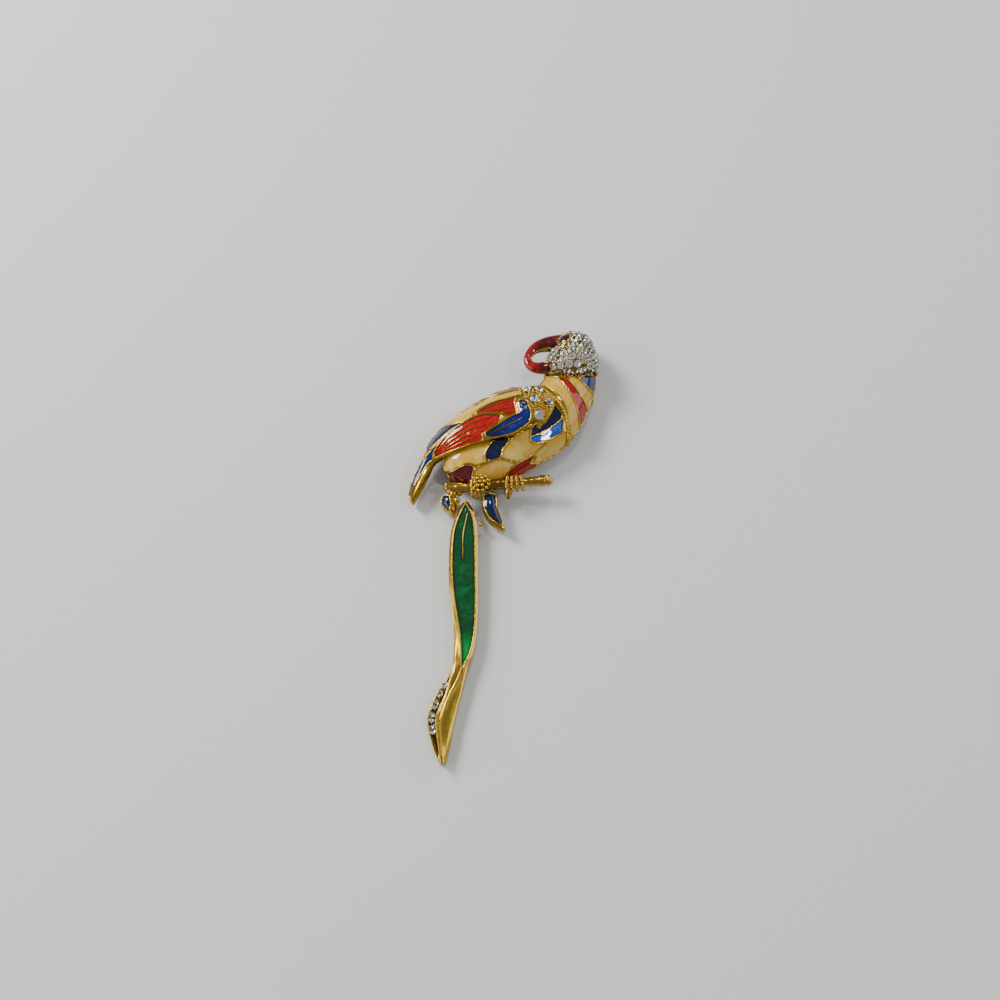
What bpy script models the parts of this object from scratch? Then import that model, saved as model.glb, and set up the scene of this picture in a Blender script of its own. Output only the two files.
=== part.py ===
"""A parrot brooch on a short perch, lying face up.

A hollow-backed cast body and a separately cast wing hold enamel in recesses. The head and
shoulder are set with clear cut stones, a long ribbon tail hangs below the perch, and a plain
pin with its hinge block and catch lies behind the body.
Heights are measured from the surface that the brooch lies on.
"""

import math
from typing import NamedTuple

import bmesh
import bpy
from mathutils import Vector

MM = 0.001

# Body: a long dome, measured along its own axis
TORSO_LENGTH = 45.0 * MM
TORSO_WIDTH = 18.5 * MM
TORSO_RISE = 6.0 * MM
TORSO_WALL = 1.3 * MM
TORSO_HEADING = math.radians(33)
RIM_HEIGHT = 2.6 * MM

# Wing: a curved plate over the body
WING_STANDOFF = 2.0 * MM
WING_WALL = 1.6 * MM
WING_ROOT_ROW = 0.7

# Head: a dome over the end of the neck
HEAD_LENGTH = 15.0 * MM
HEAD_WIDTH = 13.5 * MM
HEAD_RISE = 7.4 * MM
HEAD_WALL = 1.2 * MM
HEAD_RIM_HEIGHT = 3.0 * MM
BEAK_RADIUS = 1.6 * MM
BEAK_HEIGHT = 5.5 * MM

# Tail: a long ribbon that thins towards its tip
TAIL_LENGTH = 57.0 * MM
TAIL_WIDTH = 6.5 * MM
TAIL_RISE = 4.0 * MM
TAIL_TOP_FOOT = 1.4 * MM
TAIL_HEADING = math.radians(-97)
TAIL_INLAY_DIP = 0.25 * MM

# Leaves: two small feathers beside the top of the tail
LEAF_RISE = 3.0 * MM
LEAF_FOOT = 1.4 * MM

# Perch and claws
BRANCH_RADIUS = 1.2 * MM
BRANCH_HEIGHT = 4.5 * MM
TOE_RADIUS = 0.62 * MM

# Shoulder setting
SHOULDER_RISE = 7.9 * MM
SHOULDER_DEPTH = 3.4 * MM

# Stones
HEAD_STONE_RADIUS = 0.92 * MM
HEAD_STONE_PITCH = 2.02 * MM
SHOULDER_STONE_RADIUS = 0.95 * MM
TAIL_STONE_RADIUS = 0.90 * MM
STONE_SIDES = 8
TABLE_SHARE = 0.56
CROWN_SHARE = 0.42
PAVILION_SHARE = 0.75
CULET_SHARE = 0.2

# Enamel
RECESS_DEPTH = 0.5 * MM
CELL_WALL = 0.44 * MM
ENAMEL_DIP = 0.04 * MM

# Pin
PIN_RADIUS = 0.5 * MM
PIN_BLOCK = 3.8 * MM
RIDGE_RADIUS = 0.45 * MM

# Clearances between pieces
INLAY_GAP = 0.1 * MM
SEAT_GAP = 0.12 * MM
FIT_GAP = 0.3 * MM
CUT_MARGIN = 1.0 * MM


class Plan(NamedTuple):
    """A place on the surface below, with a direction and the two sizes its shares refer to."""

    x: float
    y: float
    heading: float
    length: float
    width: float

    def at(self, along, across, height=0.0):
        """The point at these shares of the length and width, at this height."""
        forward = Vector((math.cos(self.heading), math.sin(self.heading), 0.0))
        left = Vector((-math.sin(self.heading), math.cos(self.heading), 0.0))
        place = Vector((self.x, self.y, height))
        return place + forward * (along * self.length) + left * (across * self.width)


class Section(NamedTuple):
    """One cross-section of a form, as shares of its length, width and rise."""

    front_along: float
    front_across: float
    back_along: float
    back_across: float
    crest: float
    rise: float
    front_lift: float = 0.0
    back_lift: float = 0.0
    bulge: float = 0.0


def smooth_value(values, place):
    """The value at a fractional place in a list, on a smooth curve through its entries."""
    last = len(values) - 1
    place = min(max(place, 0.0), float(last))
    low = min(int(place), last - 1)
    part = place - low
    before = values[max(low - 1, 0)]
    start = values[low]
    end = values[low + 1]
    after = values[min(low + 2, last)]
    return 0.5 * (
        2 * start
        + (end - before) * part
        + (2 * before - 5 * start + 4 * end - after) * part**2
        + (3 * start - before - 3 * end + after) * part**3
    )


class Form:
    """A curved surface over two edges, the front at side -1 and the back at side 1."""

    def __init__(self, plan, sections, rim, rise, front_turn=0.0, back_turn=0.0):
        self.plan = plan
        self.columns = list(zip(*sections))
        self.last_row = len(sections) - 1
        self.rim = rim
        self.rise = rise
        self.front_turn = math.radians(front_turn)
        self.back_turn = math.radians(back_turn)

    def section(self, row):
        return Section(*(smooth_value(column, row) for column in self.columns))

    def point(self, row, side, inset=0.0):
        """A point on the surface, or on the one that lies inset inside it."""
        section = self.section(row)
        front = self.plan.at(section.front_along, section.front_across)
        back = self.plan.at(section.back_along, section.back_across)
        chord = (back - front).normalized()
        front += chord * inset
        back -= chord * inset
        middle = front.lerp(back, section.crest)
        edge, lift, turn = (
            (front, section.front_lift, self.front_turn)
            if side < 0
            else (back, section.back_lift, self.back_turn)
        )
        angle = turn + (math.pi / 2 - turn) * (1 - abs(side))
        spread = math.cos(angle) / math.cos(turn)
        height = (math.sin(angle) - math.sin(turn)) / (1 - math.sin(turn))
        crest_height = max(section.rise * self.rise - inset, 0.0)
        place = middle.lerp(edge, spread)
        place += self.plan.at(section.bulge * height, 0.0) - self.plan.at(0.0, 0.0)
        place.z = self.rim + lift * self.rise + (crest_height - lift * self.rise) * height
        return place

    def slopes(self, row, side):
        """How the surface runs per row and per side, as two vectors."""
        step = 0.02
        row_low, row_high = max(row - step, 0.0), min(row + step, self.last_row)
        side_low, side_high = max(side - step, -1.0), min(side + step, 1.0)
        along = self.point(row_high, side) - self.point(row_low, side)
        across = self.point(row, side_high) - self.point(row, side_low)
        return along / (row_high - row_low), across / (side_high - side_low)

    def normal(self, row, side):
        """The direction out of the surface, always upwards."""
        along, across = self.slopes(row, side)
        upright = along.cross(across)
        if upright.length < 1e-12:
            return Vector((0.0, 0.0, 1.0))
        if upright.z < 0.0:
            upright.negate()
        return upright.normalized()

    def above(self, row, side, height):
        return self.point(row, side) + self.normal(row, side) * height

    def rows_higher_than(self, height):
        """The first and last row whose crest stands at least this high above the rim."""
        steps = [self.last_row * step / 400 for step in range(401)]
        high = [row for row in steps if self.section(row).rise * self.rise >= height]
        return high[0], high[-1]


# Torso sections: front along and across, back along and across, crest, rise
TORSO_SECTIONS = (
    Section(0.012, -0.078, 0.027, 0.059, 0.50, 0.06),
    Section(0.014, -0.178, 0.061, 0.154, 0.50, 0.48),
    Section(0.051, -0.319, 0.124, 0.241, 0.50, 0.74),
    Section(0.120, -0.454, 0.216, 0.300, 0.50, 0.90),
    Section(0.241, -0.575, 0.347, 0.337, 0.52, 1.00),
    Section(0.410, -0.616, 0.486, 0.323, 0.53, 1.02),
    Section(0.575, -0.620, 0.588, 0.290, 0.52, 1.00),
    Section(0.712, -0.522, 0.661, 0.265, 0.50, 0.95),
    Section(0.827, -0.350, 0.714, 0.285, 0.48, 0.86),
    Section(0.914, -0.199, 0.754, 0.337, 0.46, 0.76),
    Section(0.972, -0.033, 0.799, 0.407, 0.46, 0.56),
    Section(0.986, 0.176, 0.876, 0.439, 0.46, 0.06),
)

# Wing sections, from the shoulder to the tip of the primary; lifts as shares of the rise
WING_SECTIONS = (
    Section(0.557, -0.252, 0.621, 0.254, 0.50, 0.98, 0.92, 0.52),
    Section(0.475, -0.265, 0.567, 0.360, 0.48, 1.00, 0.92, 0.42),
    Section(0.376, -0.258, 0.493, 0.448, 0.46, 0.99, 0.91, 0.32),
    Section(0.286, -0.170, 0.401, 0.497, 0.44, 0.95, 0.88, 0.25),
    Section(0.199, -0.069, 0.300, 0.507, 0.42, 0.88, 0.82, 0.22),
    Section(0.115, 0.010, 0.190, 0.491, 0.42, 0.76, 0.70, 0.20),
    Section(0.045, 0.086, 0.091, 0.452, 0.42, 0.57, 0.51, 0.17),
    Section(-0.004, 0.116, 0.000, 0.341, 0.44, 0.42, 0.33, 0.15),
    Section(-0.047, 0.071, -0.076, 0.226, 0.52, 0.32, 0.20, 0.10),
    Section(-0.117, -0.018, -0.147, 0.115, 0.52, 0.25, 0.11, 0.05),
    Section(-0.182, -0.089, -0.195, -0.007, 0.52, 0.15, 0.06, 0.03),
    Section(-0.201, -0.108, -0.206, -0.079, 0.50, 0.07, 0.05, 0.05),
)

# Head sections, from the lip at the neck to the top; the bulge runs back over the neck
HEAD_SECTIONS = (
    Section(0.196, -0.331, 0.202, 0.332, 0.50, 0.05, 0.0, 0.0, -0.107),
    Section(0.235, -0.426, 0.249, 0.465, 0.50, 0.65, 0.0, 0.0, -0.187),
    Section(0.368, -0.463, 0.348, 0.457, 0.50, 0.92, 0.0, 0.0, -0.213),
    Section(0.527, -0.463, 0.481, 0.398, 0.50, 1.00, 0.0, 0.0, -0.160),
    Section(0.660, -0.434, 0.633, 0.340, 0.50, 0.93, 0.0, 0.0, -0.080),
    Section(0.779, -0.375, 0.772, 0.281, 0.50, 0.72, 0.0, 0.0, -0.020),
    Section(0.872, -0.279, 0.872, 0.200, 0.50, 0.38, 0.0, 0.0, 0.000),
    Section(0.931, -0.169, 0.931, 0.067, 0.50, 0.01, 0.0, 0.0, 0.000),
)

# Tail sections, from the top to the tip; the front edge is the stone-set side
TAIL_SECTIONS = (
    Section(0.023, -0.042, 0.017, 0.121, 0.50, 0.92, 0.85, 0.85),
    Section(0.078, -0.230, 0.064, 0.370, 0.50, 1.00, 0.82, 0.82),
    Section(0.148, -0.357, 0.126, 0.498, 0.50, 0.97, 0.77, 0.80),
    Section(0.234, -0.358, 0.220, 0.583, 0.50, 0.92, 0.72, 0.75),
    Section(0.349, -0.270, 0.337, 0.662, 0.50, 0.87, 0.67, 0.70),
    Section(0.450, -0.110, 0.435, 0.720, 0.50, 0.82, 0.65, 0.65),
    Section(0.542, 0.053, 0.530, 0.729, 0.50, 0.77, 0.62, 0.62),
    Section(0.622, 0.075, 0.604, 0.669, 0.50, 0.75, 0.57, 0.60),
    Section(0.681, 0.000, 0.666, 0.533, 0.50, 0.72, 0.47, 0.57),
    Section(0.759, -0.386, 0.752, 0.393, 0.52, 0.72, 0.32, 0.55),
    Section(0.841, -0.581, 0.836, 0.266, 0.55, 0.72, 0.27, 0.52),
    Section(0.918, -0.404, 0.917, 0.181, 0.55, 0.70, 0.27, 0.50),
    Section(0.989, -0.101, 0.989, 0.089, 0.50, 0.55, 0.35, 0.45),
)

# Shoulder setting sections, from its lower point to its top, on the torso's plan
SHOULDER_SECTIONS = (
    Section(0.510, -0.345, 0.500, -0.300, 0.50, 0.70, 0.62, 0.62),
    Section(0.580, -0.290, 0.500, -0.160, 0.50, 0.92, 0.72, 0.82),
    Section(0.638, -0.210, 0.497, -0.010, 0.50, 1.00, 0.76, 0.94),
    Section(0.665, -0.100, 0.512, 0.090, 0.50, 1.00, 0.76, 0.94),
    Section(0.660, 0.030, 0.542, 0.160, 0.50, 0.96, 0.72, 0.84),
    Section(0.640, 0.120, 0.595, 0.170, 0.50, 0.84, 0.66, 0.72),
)

# Leaf sections, from the perch to the tip, each on its own plan
LEFT_LEAF_SECTIONS = (
    Section(0.02, -0.32, 0.02, 0.34, 0.55, 0.75, 0.55, 0.60),
    Section(0.30, -0.50, 0.28, 0.50, 0.55, 1.00, 0.55, 0.75),
    Section(0.58, -0.46, 0.58, 0.42, 0.55, 1.00, 0.50, 0.75),
    Section(0.82, -0.26, 0.80, 0.26, 0.50, 0.80, 0.45, 0.60),
    Section(1.00, -0.04, 0.97, 0.14, 0.50, 0.50, 0.40, 0.45),
)
RIGHT_LEAF_SECTIONS = (
    Section(0.00, -0.40, 0.02, 0.36, 0.50, 0.90, 0.70, 0.70),
    Section(0.22, -0.62, 0.22, 0.30, 0.50, 1.00, 0.72, 0.72),
    Section(0.44, -0.64, 0.42, 0.22, 0.50, 1.00, 0.72, 0.72),
    Section(0.68, -0.46, 0.62, 0.24, 0.50, 0.92, 0.66, 0.66),
    Section(0.86, -0.10, 0.80, 0.28, 0.50, 0.80, 0.55, 0.60),
    Section(0.98, 0.16, 0.95, 0.36, 0.50, 0.60, 0.45, 0.50),
)

# Enamel colours, as linear red, green and blue
CREAM = (0.62, 0.42, 0.12)
NAVY = (0.010, 0.016, 0.085)
BLUE = (0.040, 0.150, 0.620)
RED = (0.480, 0.020, 0.025)
MAROON = (0.200, 0.030, 0.045)
GREEN = (0.005, 0.110, 0.040)
EYE_RED = (0.110, 0.012, 0.010)
GOLD = (0.700, 0.480, 0.130)
CLEAR = (0.850, 0.870, 0.850)
STEEL = (0.550, 0.500, 0.380)

# Outlines of the torso's enamel, as row and side on the torso's form
TORSO_CELLS = {
    "enamel_neck_cream_front": (
        CREAM,
        ((7.30, 0.62), (7.22, 0.30), (7.15, 0.10), (7.05, -0.10), (6.88, -0.30), (6.70, -0.45),
         (6.55, -0.60), (6.44, -0.76), (6.55, -0.88), (6.95, -0.86), (7.08, -0.68),
         (7.28, -0.50), (7.50, -0.30), (7.70, -0.13), (7.90, 0.05), (8.15, 0.16), (8.40, 0.30),
         (8.40, 0.62)),
    ),
    "enamel_neck_red": (
        RED,
        ((8.02, 0.06), (7.70, -0.14), (7.50, -0.31), (7.28, -0.51), (7.08, -0.70),
         (7.02, -0.88), (7.75, -0.92), (7.78, -0.70), (7.86, -0.55), (7.95, -0.38),
         (8.12, -0.22), (8.32, -0.08), (8.45, 0.10), (8.40, 0.26)),
    ),
    "enamel_neck_cream_back": (
        CREAM,
        ((8.44, 0.02), (8.32, -0.10), (8.12, -0.24), (7.96, -0.40), (7.88, -0.56),
         (7.80, -0.72), (7.78, -0.92), (8.50, -0.92), (8.62, -0.80), (8.55, -0.62),
         (8.66, -0.36), (8.80, -0.20), (8.80, 0.00)),
    ),
    "enamel_nape_blue": (
        NAVY,
        ((8.76, -0.30), (8.62, -0.50), (8.62, -0.66), (8.72, -0.80), (8.90, -0.92),
         (9.90, -0.93), (9.80, -0.70), (9.55, -0.48), (9.20, -0.30), (8.95, -0.22)),
    ),
    "enamel_shoulder_navy": (
        NAVY,
        ((6.56, 0.04), (6.58, -0.15), (6.45, -0.35), (5.50, -0.36), (5.10, -0.32),
         (5.24, -0.22), (5.72, -0.16), (6.20, -0.08), (6.45, 0.00)),
    ),
    "enamel_shoulder_blue": (
        BLUE,
        ((6.42, -0.37), (6.30, -0.48), (6.10, -0.59), (5.90, -0.55), (5.60, -0.53),
         (5.20, -0.47), (5.05, -0.40), (5.12, -0.34), (5.50, -0.37)),
    ),
    "enamel_feather_cream_upper": (
        CREAM,
        ((4.00, -0.38), (4.12, -0.29), (4.42, -0.22), (4.80, -0.19), (5.20, -0.22),
         (5.08, -0.32), (5.02, -0.40), (5.18, -0.49), (5.50, -0.54), (5.30, -0.58),
         (4.95, -0.62), (4.55, -0.62), (4.35, -0.55), (4.15, -0.46)),
    ),
    "enamel_feather_cream_front": (
        CREAM,
        ((4.95, -0.64), (5.30, -0.60), (5.60, -0.55), (6.05, -0.56), (6.30, -0.62),
         (6.24, -0.74), (6.10, -0.90), (5.50, -0.94), (5.05, -0.92), (4.90, -0.80),
         (5.02, -0.70)),
    ),
    "enamel_feather_red": (
        RED,
        ((4.48, -0.635), (4.98, -0.64), (4.86, -0.71), (4.76, -0.76), (4.90, -0.84),
         (4.92, -0.93), (4.10, -0.94), (3.98, -0.80), (4.06, -0.70), (4.25, -0.65)),
    ),
    "enamel_feather_navy": (
        NAVY,
        ((4.38, -0.21), (4.12, -0.28), (3.98, -0.37), (3.62, -0.36), (3.44, -0.30),
         (3.50, -0.20), (3.70, -0.12), (3.95, -0.08), (4.40, -0.14)),
    ),
    "enamel_feather_cream_middle": (
        CREAM,
        ((2.78, -0.44), (3.12, -0.385), (3.70, -0.375), (4.00, -0.42), (4.28, -0.55),
         (4.42, -0.62), (4.08, -0.66), (3.90, -0.76), (3.90, -0.92), (2.86, -0.92),
         (2.72, -0.62)),
    ),
    "enamel_feather_cream_back": (
        CREAM,
        ((0.55, -0.10), (0.70, -0.24), (1.00, -0.29), (1.50, -0.29), (1.95, -0.245),
         (2.40, -0.225), (2.78, -0.27), (3.00, -0.335), (3.40, -0.335), (3.40, -0.25),
         (3.62, -0.12), (3.80, -0.02), (3.40, 0.10), (2.50, 0.26), (1.60, 0.40),
         (0.95, 0.42), (0.60, 0.20)),
    ),
    "enamel_feather_maroon": (
        MAROON,
        ((0.72, -0.36), (1.05, -0.33), (1.50, -0.325), (1.98, -0.28), (2.42, -0.26),
         (2.70, -0.30), (2.85, -0.37), (2.68, -0.50), (2.52, -0.66), (2.40, -0.92),
         (1.00, -0.92), (0.80, -0.66)),
    ),
}

# Outlines of the wing's enamel, as row and side on the wing's form
WING_CELLS = {
    "enamel_wing_cream": (
        CREAM,
        ((0.92, 0.44), (1.30, 0.55), (1.80, 0.64), (2.40, 0.74), (3.10, 0.72), (3.62, 0.60),
         (3.84, 0.54), (4.20, 0.68), (4.90, 0.82), (5.80, 0.90), (6.35, 0.82), (6.30, 0.68),
         (5.85, 0.58), (5.30, 0.44), (4.80, 0.28), (4.36, 0.15), (3.96, 0.16), (3.70, 0.25),
         (3.10, 0.30), (2.40, 0.29), (1.60, 0.22), (0.95, 0.20)),
    ),
    "enamel_wing_red_upper": (
        RED,
        ((1.35, 0.14), (1.85, 0.22), (2.42, 0.27), (3.20, 0.26), (3.66, 0.20), (3.20, 0.10),
         (2.74, 0.00), (2.40, -0.10), (2.16, -0.22), (1.95, -0.30), (1.58, -0.29),
         (1.50, -0.10), (1.50, 0.05)),
    ),
    "enamel_wing_red_lower": (
        RED,
        ((2.42, -0.22), (2.90, -0.04), (3.35, 0.05), (3.95, 0.11), (4.60, 0.12), (5.25, 0.08),
         (5.90, -0.01), (6.36, -0.16), (6.60, -0.36), (6.64, -0.58), (6.25, -0.70),
         (5.50, -0.74), (4.75, -0.80), (4.05, -0.86), (3.62, -0.86), (3.54, -0.62),
         (3.05, -0.46), (2.60, -0.36)),
    ),
    "enamel_wing_blue": (
        NAVY,
        ((1.42, -0.36), (1.75, -0.33), (2.20, -0.35), (2.72, -0.46), (3.28, -0.56),
         (3.42, -0.64), (3.26, -0.78), (2.90, -0.89), (1.60, -0.90), (1.18, -0.82),
         (0.95, -0.60), (0.92, -0.30), (1.05, -0.12), (1.32, -0.04), (1.42, -0.16)),
    ),
    "enamel_wing_dark": (
        NAVY,
        ((4.42, 0.16), (4.84, 0.28), (5.34, 0.43), (5.90, 0.56), (6.36, 0.66), (6.66, 0.62),
         (6.78, 0.40), (6.86, 0.22), (6.10, 0.15), (5.20, 0.17)),
    ),
    "enamel_primary_blue": (
        NAVY,
        ((5.20, 0.12), (6.00, 0.09), (6.80, 0.12), (7.25, 0.18), (7.70, 0.30), (8.30, 0.52),
         (8.90, 0.66), (9.40, 0.72), (9.62, 0.60), (9.50, 0.22), (8.80, -0.04), (8.10, -0.20),
         (7.60, -0.30), (7.35, -0.42), (7.05, -0.56), (6.84, -0.56), (6.74, -0.34),
         (6.48, -0.12), (5.98, 0.03)),
    ),
}

EYE_OUTLINE = (
    (3.85, 0.40), (4.25, 0.50), (4.75, 0.42), (4.95, 0.24), (4.65, 0.08), (4.15, 0.10),
    (3.88, 0.22),
)
TAIL_OUTLINE = (
    (0.25, 0.00), (0.55, -0.35), (1.10, -0.55), (1.80, -0.68), (2.65, -0.72), (3.60, -0.72),
    (4.80, -0.64), (5.60, -0.54), (6.25, -0.42), (6.75, -0.28), (7.30, -0.10), (7.70, 0.06),
    (7.80, 0.22), (7.55, 0.42), (7.10, 0.60), (6.50, 0.70), (5.40, 0.76), (4.20, 0.78),
    (3.00, 0.78), (1.90, 0.72), (1.10, 0.60), (0.60, 0.40),
)
LEFT_LEAF_OUTLINE = (
    (0.50, -0.72), (1.20, -0.78), (2.20, -0.76), (3.10, -0.60), (3.00, -0.24), (2.20, -0.10),
    (1.20, -0.12), (0.60, -0.30),
)
RIGHT_LEAF_OUTLINE = (
    (1.05, -0.62), (1.60, -0.68), (2.20, -0.68), (3.20, -0.56), (4.00, -0.20), (4.35, 0.20),
    (3.90, 0.60), (2.80, 0.66), (1.80, 0.68), (1.05, 0.64),
)

# Places on a form: row, side and size as a share of the stone's radius
SHOULDER_STONES = (
    (4.20, 0.36, 1.0), (3.85, -0.36, 1.0), (2.62, 0.10, 1.08), (2.30, 0.66, 0.95),
    (2.15, -0.62, 1.0), (0.92, 0.00, 1.05),
)
TAIL_STONES = (
    (8.20, -0.60, 0.55), (8.60, -0.60, 0.80), (8.98, -0.62, 0.85), (9.45, -0.62, 0.92),
    (10.00, -0.61, 1.0), (10.52, -0.60, 0.95),
)
RIDGE_PATH = ((6.84, 0.55), (6.82, 0.36), (6.79, 0.13), (6.79, -0.09), (6.71, -0.27),
              (6.60, -0.42), (6.45, -0.60), (6.26, -0.76))

# Centre lines on a plan: along, across, radius as a share of the piece's radius
BEAK_PATH = (
    (0.740, 0.10, 1.05), (0.737, 0.26, 1.00), (0.715, 0.44, 0.88), (0.650, 0.61, 0.70),
    (0.505, 0.73, 0.57), (0.370, 0.74, 0.60), (0.282, 0.64, 0.72), (0.262, 0.49, 0.80),
    (0.275, 0.34, 0.75),
)
BRANCH_PATH = (
    (-0.027, -0.226, 0.60), (0.013, -0.314, 0.95), (0.087, -0.425, 1.00), (0.172, -0.547, 1.00),
    (0.247, -0.658, 0.95), (0.311, -0.760, 0.80), (0.363, -0.841, 1.05), (0.387, -0.886, 0.95),
)
STUB_PATH = ((0.223, -0.642, 0.70), (0.198, -0.717, 0.70), (0.180, -0.772, 0.55))
LEFT_CLAW = (0.103, -0.440)
RIGHT_CLAW = (0.249, -0.670)


def clear_scene():
    for old in list(bpy.data.objects):
        bpy.data.objects.remove(old, do_unlink=True)


def collection(name, parent):
    made = bpy.data.collections.new(name)
    parent.children.link(made)
    return made


def finish(name, colour, roughness, metallic):
    material = bpy.data.materials.new(name)
    material.use_nodes = True
    shader = material.node_tree.nodes["Principled BSDF"]
    shader.inputs["Base Color"].default_value = (*colour, 1.0)
    shader.inputs["Roughness"].default_value = roughness
    shader.inputs["Metallic"].default_value = metallic
    return material


def metal(name, colour=GOLD):
    return finish(name, colour, 0.25, 1.0)


def glaze(name, colour):
    return finish(name, colour, 0.12, 0.0)


def add_object(name, bm, material, home):
    """A new object from a bmesh, with all faces pointing outwards."""
    bmesh.ops.recalc_face_normals(bm, faces=bm.faces)
    if bm.calc_volume(signed=True) < 0:
        bmesh.ops.reverse_faces(bm, faces=bm.faces)
    mesh = bpy.data.meshes.new(name)
    bm.to_mesh(mesh)
    bm.free()
    if material:
        mesh.materials.append(material)
    made = bpy.data.objects.new(name, mesh)
    home.objects.link(made)
    return made


def add_cutter(name, bm, home):
    made = add_object(name, bm, None, home)
    made.hide_render = True
    made.display_type = "WIRE"
    return made


def boolean(target, operation, operand):
    """Cut or join with one object, or with every object of a collection."""
    step = target.modifiers.new(f"{operation.lower()} {operand.name}", "BOOLEAN")
    step.operation = operation
    step.solver = "EXACT"
    if isinstance(operand, bpy.types.Collection):
        step.operand_type = "COLLECTION"
        step.collection = operand
    else:
        step.object = operand


def keep_out(cuts, *spaces):
    """Add shared cutters to the collection of cuts of one piece."""
    for space in spaces:
        cuts.objects.link(space)


def slab(bm, lower, upper):
    """Thicken flat faces in bm and bend them: lower and upper map row and side to a point."""
    flat = bmesh.ops.extrude_face_region(bm, geom=bm.faces[:])["geom"]
    raised = {item for item in flat if isinstance(item, bmesh.types.BMVert)}
    for vertex in bm.verts:
        row, side = vertex.co.x, vertex.co.y
        vertex.co = upper(row, side) if vertex in raised else lower(row, side)
    return bm


def flat_grid(rows, sides, first_row, last_row):
    """A flat grid whose x runs from the first row to the last and y from side -1 to 1."""
    bm = bmesh.new()
    bmesh.ops.create_grid(bm, x_segments=rows, y_segments=sides, size=1.0)
    for vertex in bm.verts:
        share = (vertex.co.x + 1) / 2
        vertex.co.x = first_row + (last_row - first_row) * share
    return bm


def flat_outline(outline, row_step, side_step):
    """A flat face with this outline, cut along the lines of a form's grid."""
    bm = bmesh.new()
    ring = bmesh.ops.create_circle(bm, cap_ends=True, radius=1.0, segments=len(outline))
    for vertex, (row, side) in zip(ring["verts"], outline):
        vertex.co = (row, side, 0.0)
    for axis, step in ((0, row_step), (1, side_step)):
        values = [corner[axis] for corner in outline]
        lines = range(math.ceil(min(values) / step), math.floor(max(values) / step) + 1)
        for line in lines:
            place = [0.0, 0.0, 0.0]
            place[axis] = line * step
            facing = [0.0, 0.0, 0.0]
            facing[axis] = 1.0
            everything = bm.verts[:] + bm.edges[:] + bm.faces[:]
            bmesh.ops.bisect_plane(bm, geom=everything, dist=1e-4, plane_co=place, plane_no=facing)
    bmesh.ops.triangulate(bm, faces=bm.faces[:])
    return bm


def drawn_in(form, outline, distance):
    """The outline moved inwards on its form by a real distance, or outwards if negative."""
    turn = 0.0
    for (row_a, side_a), (row_b, side_b) in zip(outline, outline[1:] + outline[:1]):
        turn += row_a * side_b - row_b * side_a
    inward = 1.0 if turn > 0 else -1.0
    corners = [form.point(row, side) for row, side in outline]
    moved = []
    for index, (row, side) in enumerate(outline):
        before = (corners[index] - corners[index - 1]).normalized()
        after = (corners[(index + 1) % len(corners)] - corners[index]).normalized()
        along, across = form.slopes(row, side)
        upright = along.cross(across).normalized()
        inner_before = upright.cross(before) * inward
        inner_after = upright.cross(after) * inward
        bisector = (inner_before + inner_after).normalized()
        stretch = min(1.0 / max(bisector.dot(inner_before), 0.45), 2.2)
        shift = bisector * distance * stretch
        aa, ab, bb = along.dot(along), along.dot(across), across.dot(across)
        pa, pb = shift.dot(along), shift.dot(across)
        scale = aa * bb - ab * ab
        moved.append((row + (pa * bb - pb * ab) / scale, side + (pb * aa - pa * ab) / scale))
    return tuple(moved)


def inlay_and_recess(name, form, outline, colour, home, cutters, wall=CELL_WALL, dip=ENAMEL_DIP):
    """An enamel piece just below a form's surface, and the cutter of the recess around it."""
    depth = RECESS_DEPTH + dip
    recess = drawn_in(form, outline, wall / 2)
    inlay = drawn_in(form, outline, wall / 2 + INLAY_GAP)
    bm = slab(
        flat_outline(inlay, ROW_STEP, SIDE_STEP),
        lambda row, side: form.above(row, side, INLAY_GAP - depth),
        lambda row, side: form.above(row, side, -dip),
    )
    add_object(name, bm, glaze(name, colour), home)
    bm = slab(
        flat_outline(recess, ROW_STEP, SIDE_STEP),
        lambda row, side: form.above(row, side, -depth),
        lambda row, side: form.above(row, side, CUT_MARGIN),
    )
    add_cutter(f"recess of {name}", bm, cutters)


def hollow_dome(form, rows, sides, wall):
    """A dome with a flat rim and an open hollow behind it."""
    first, last = form.rows_higher_than(wall)

    def inner(row, side):
        share = row / form.last_row
        return form.point(first + (last - first) * share, side, wall)

    return slab(flat_grid(rows, sides, 0.0, form.last_row), inner, form.point)


def filled_below(form, rows, sides, grow, floor):
    """All the space below a form grown by a clearance, used to cut what sits against it."""

    def upper(row, side):
        return form.above(row, side, grow)

    def lower(row, side):
        place = upper(row, side)
        place.z = floor
        return place

    return slab(flat_grid(rows, sides, 0.0, form.last_row), lower, upper)


def column_around(form, grow, floor, ceiling):
    """An upright block around a form's outline in plan, wider by a clearance on every side."""
    count = 2 * form.last_row
    rows = [form.last_row * step / count for step in range(count + 1)]
    front = [form.point(row, -1.0) for row in rows]
    back = [form.point(row, 1.0) for row in reversed(rows)]
    loop = [Vector((corner.x, corner.y)) for corner in front + back]
    middle = sum(loop, Vector((0.0, 0.0))) / len(loop)
    bm = bmesh.new()
    ring = bmesh.ops.create_circle(bm, cap_ends=True, radius=1.0, segments=len(loop))
    for index, vertex in enumerate(ring["verts"]):
        before = (loop[index] - loop[index - 1]).normalized()
        after = (loop[(index + 1) % len(loop)] - loop[index]).normalized()
        run = (before + after).normalized()
        outward = Vector((run.y, -run.x))
        if outward.dot(loop[index] - middle) < 0:
            outward.negate()
        stretch = 1.0 / max(abs(run.dot(after)), 0.5)
        place = loop[index] + outward * grow * stretch
        vertex.co = (place.x, place.y, floor)
    raised = bmesh.ops.extrude_face_region(bm, geom=bm.faces[:])["geom"]
    for item in raised:
        if isinstance(item, bmesh.types.BMVert):
            item.co.z = ceiling
    return bm


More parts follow.
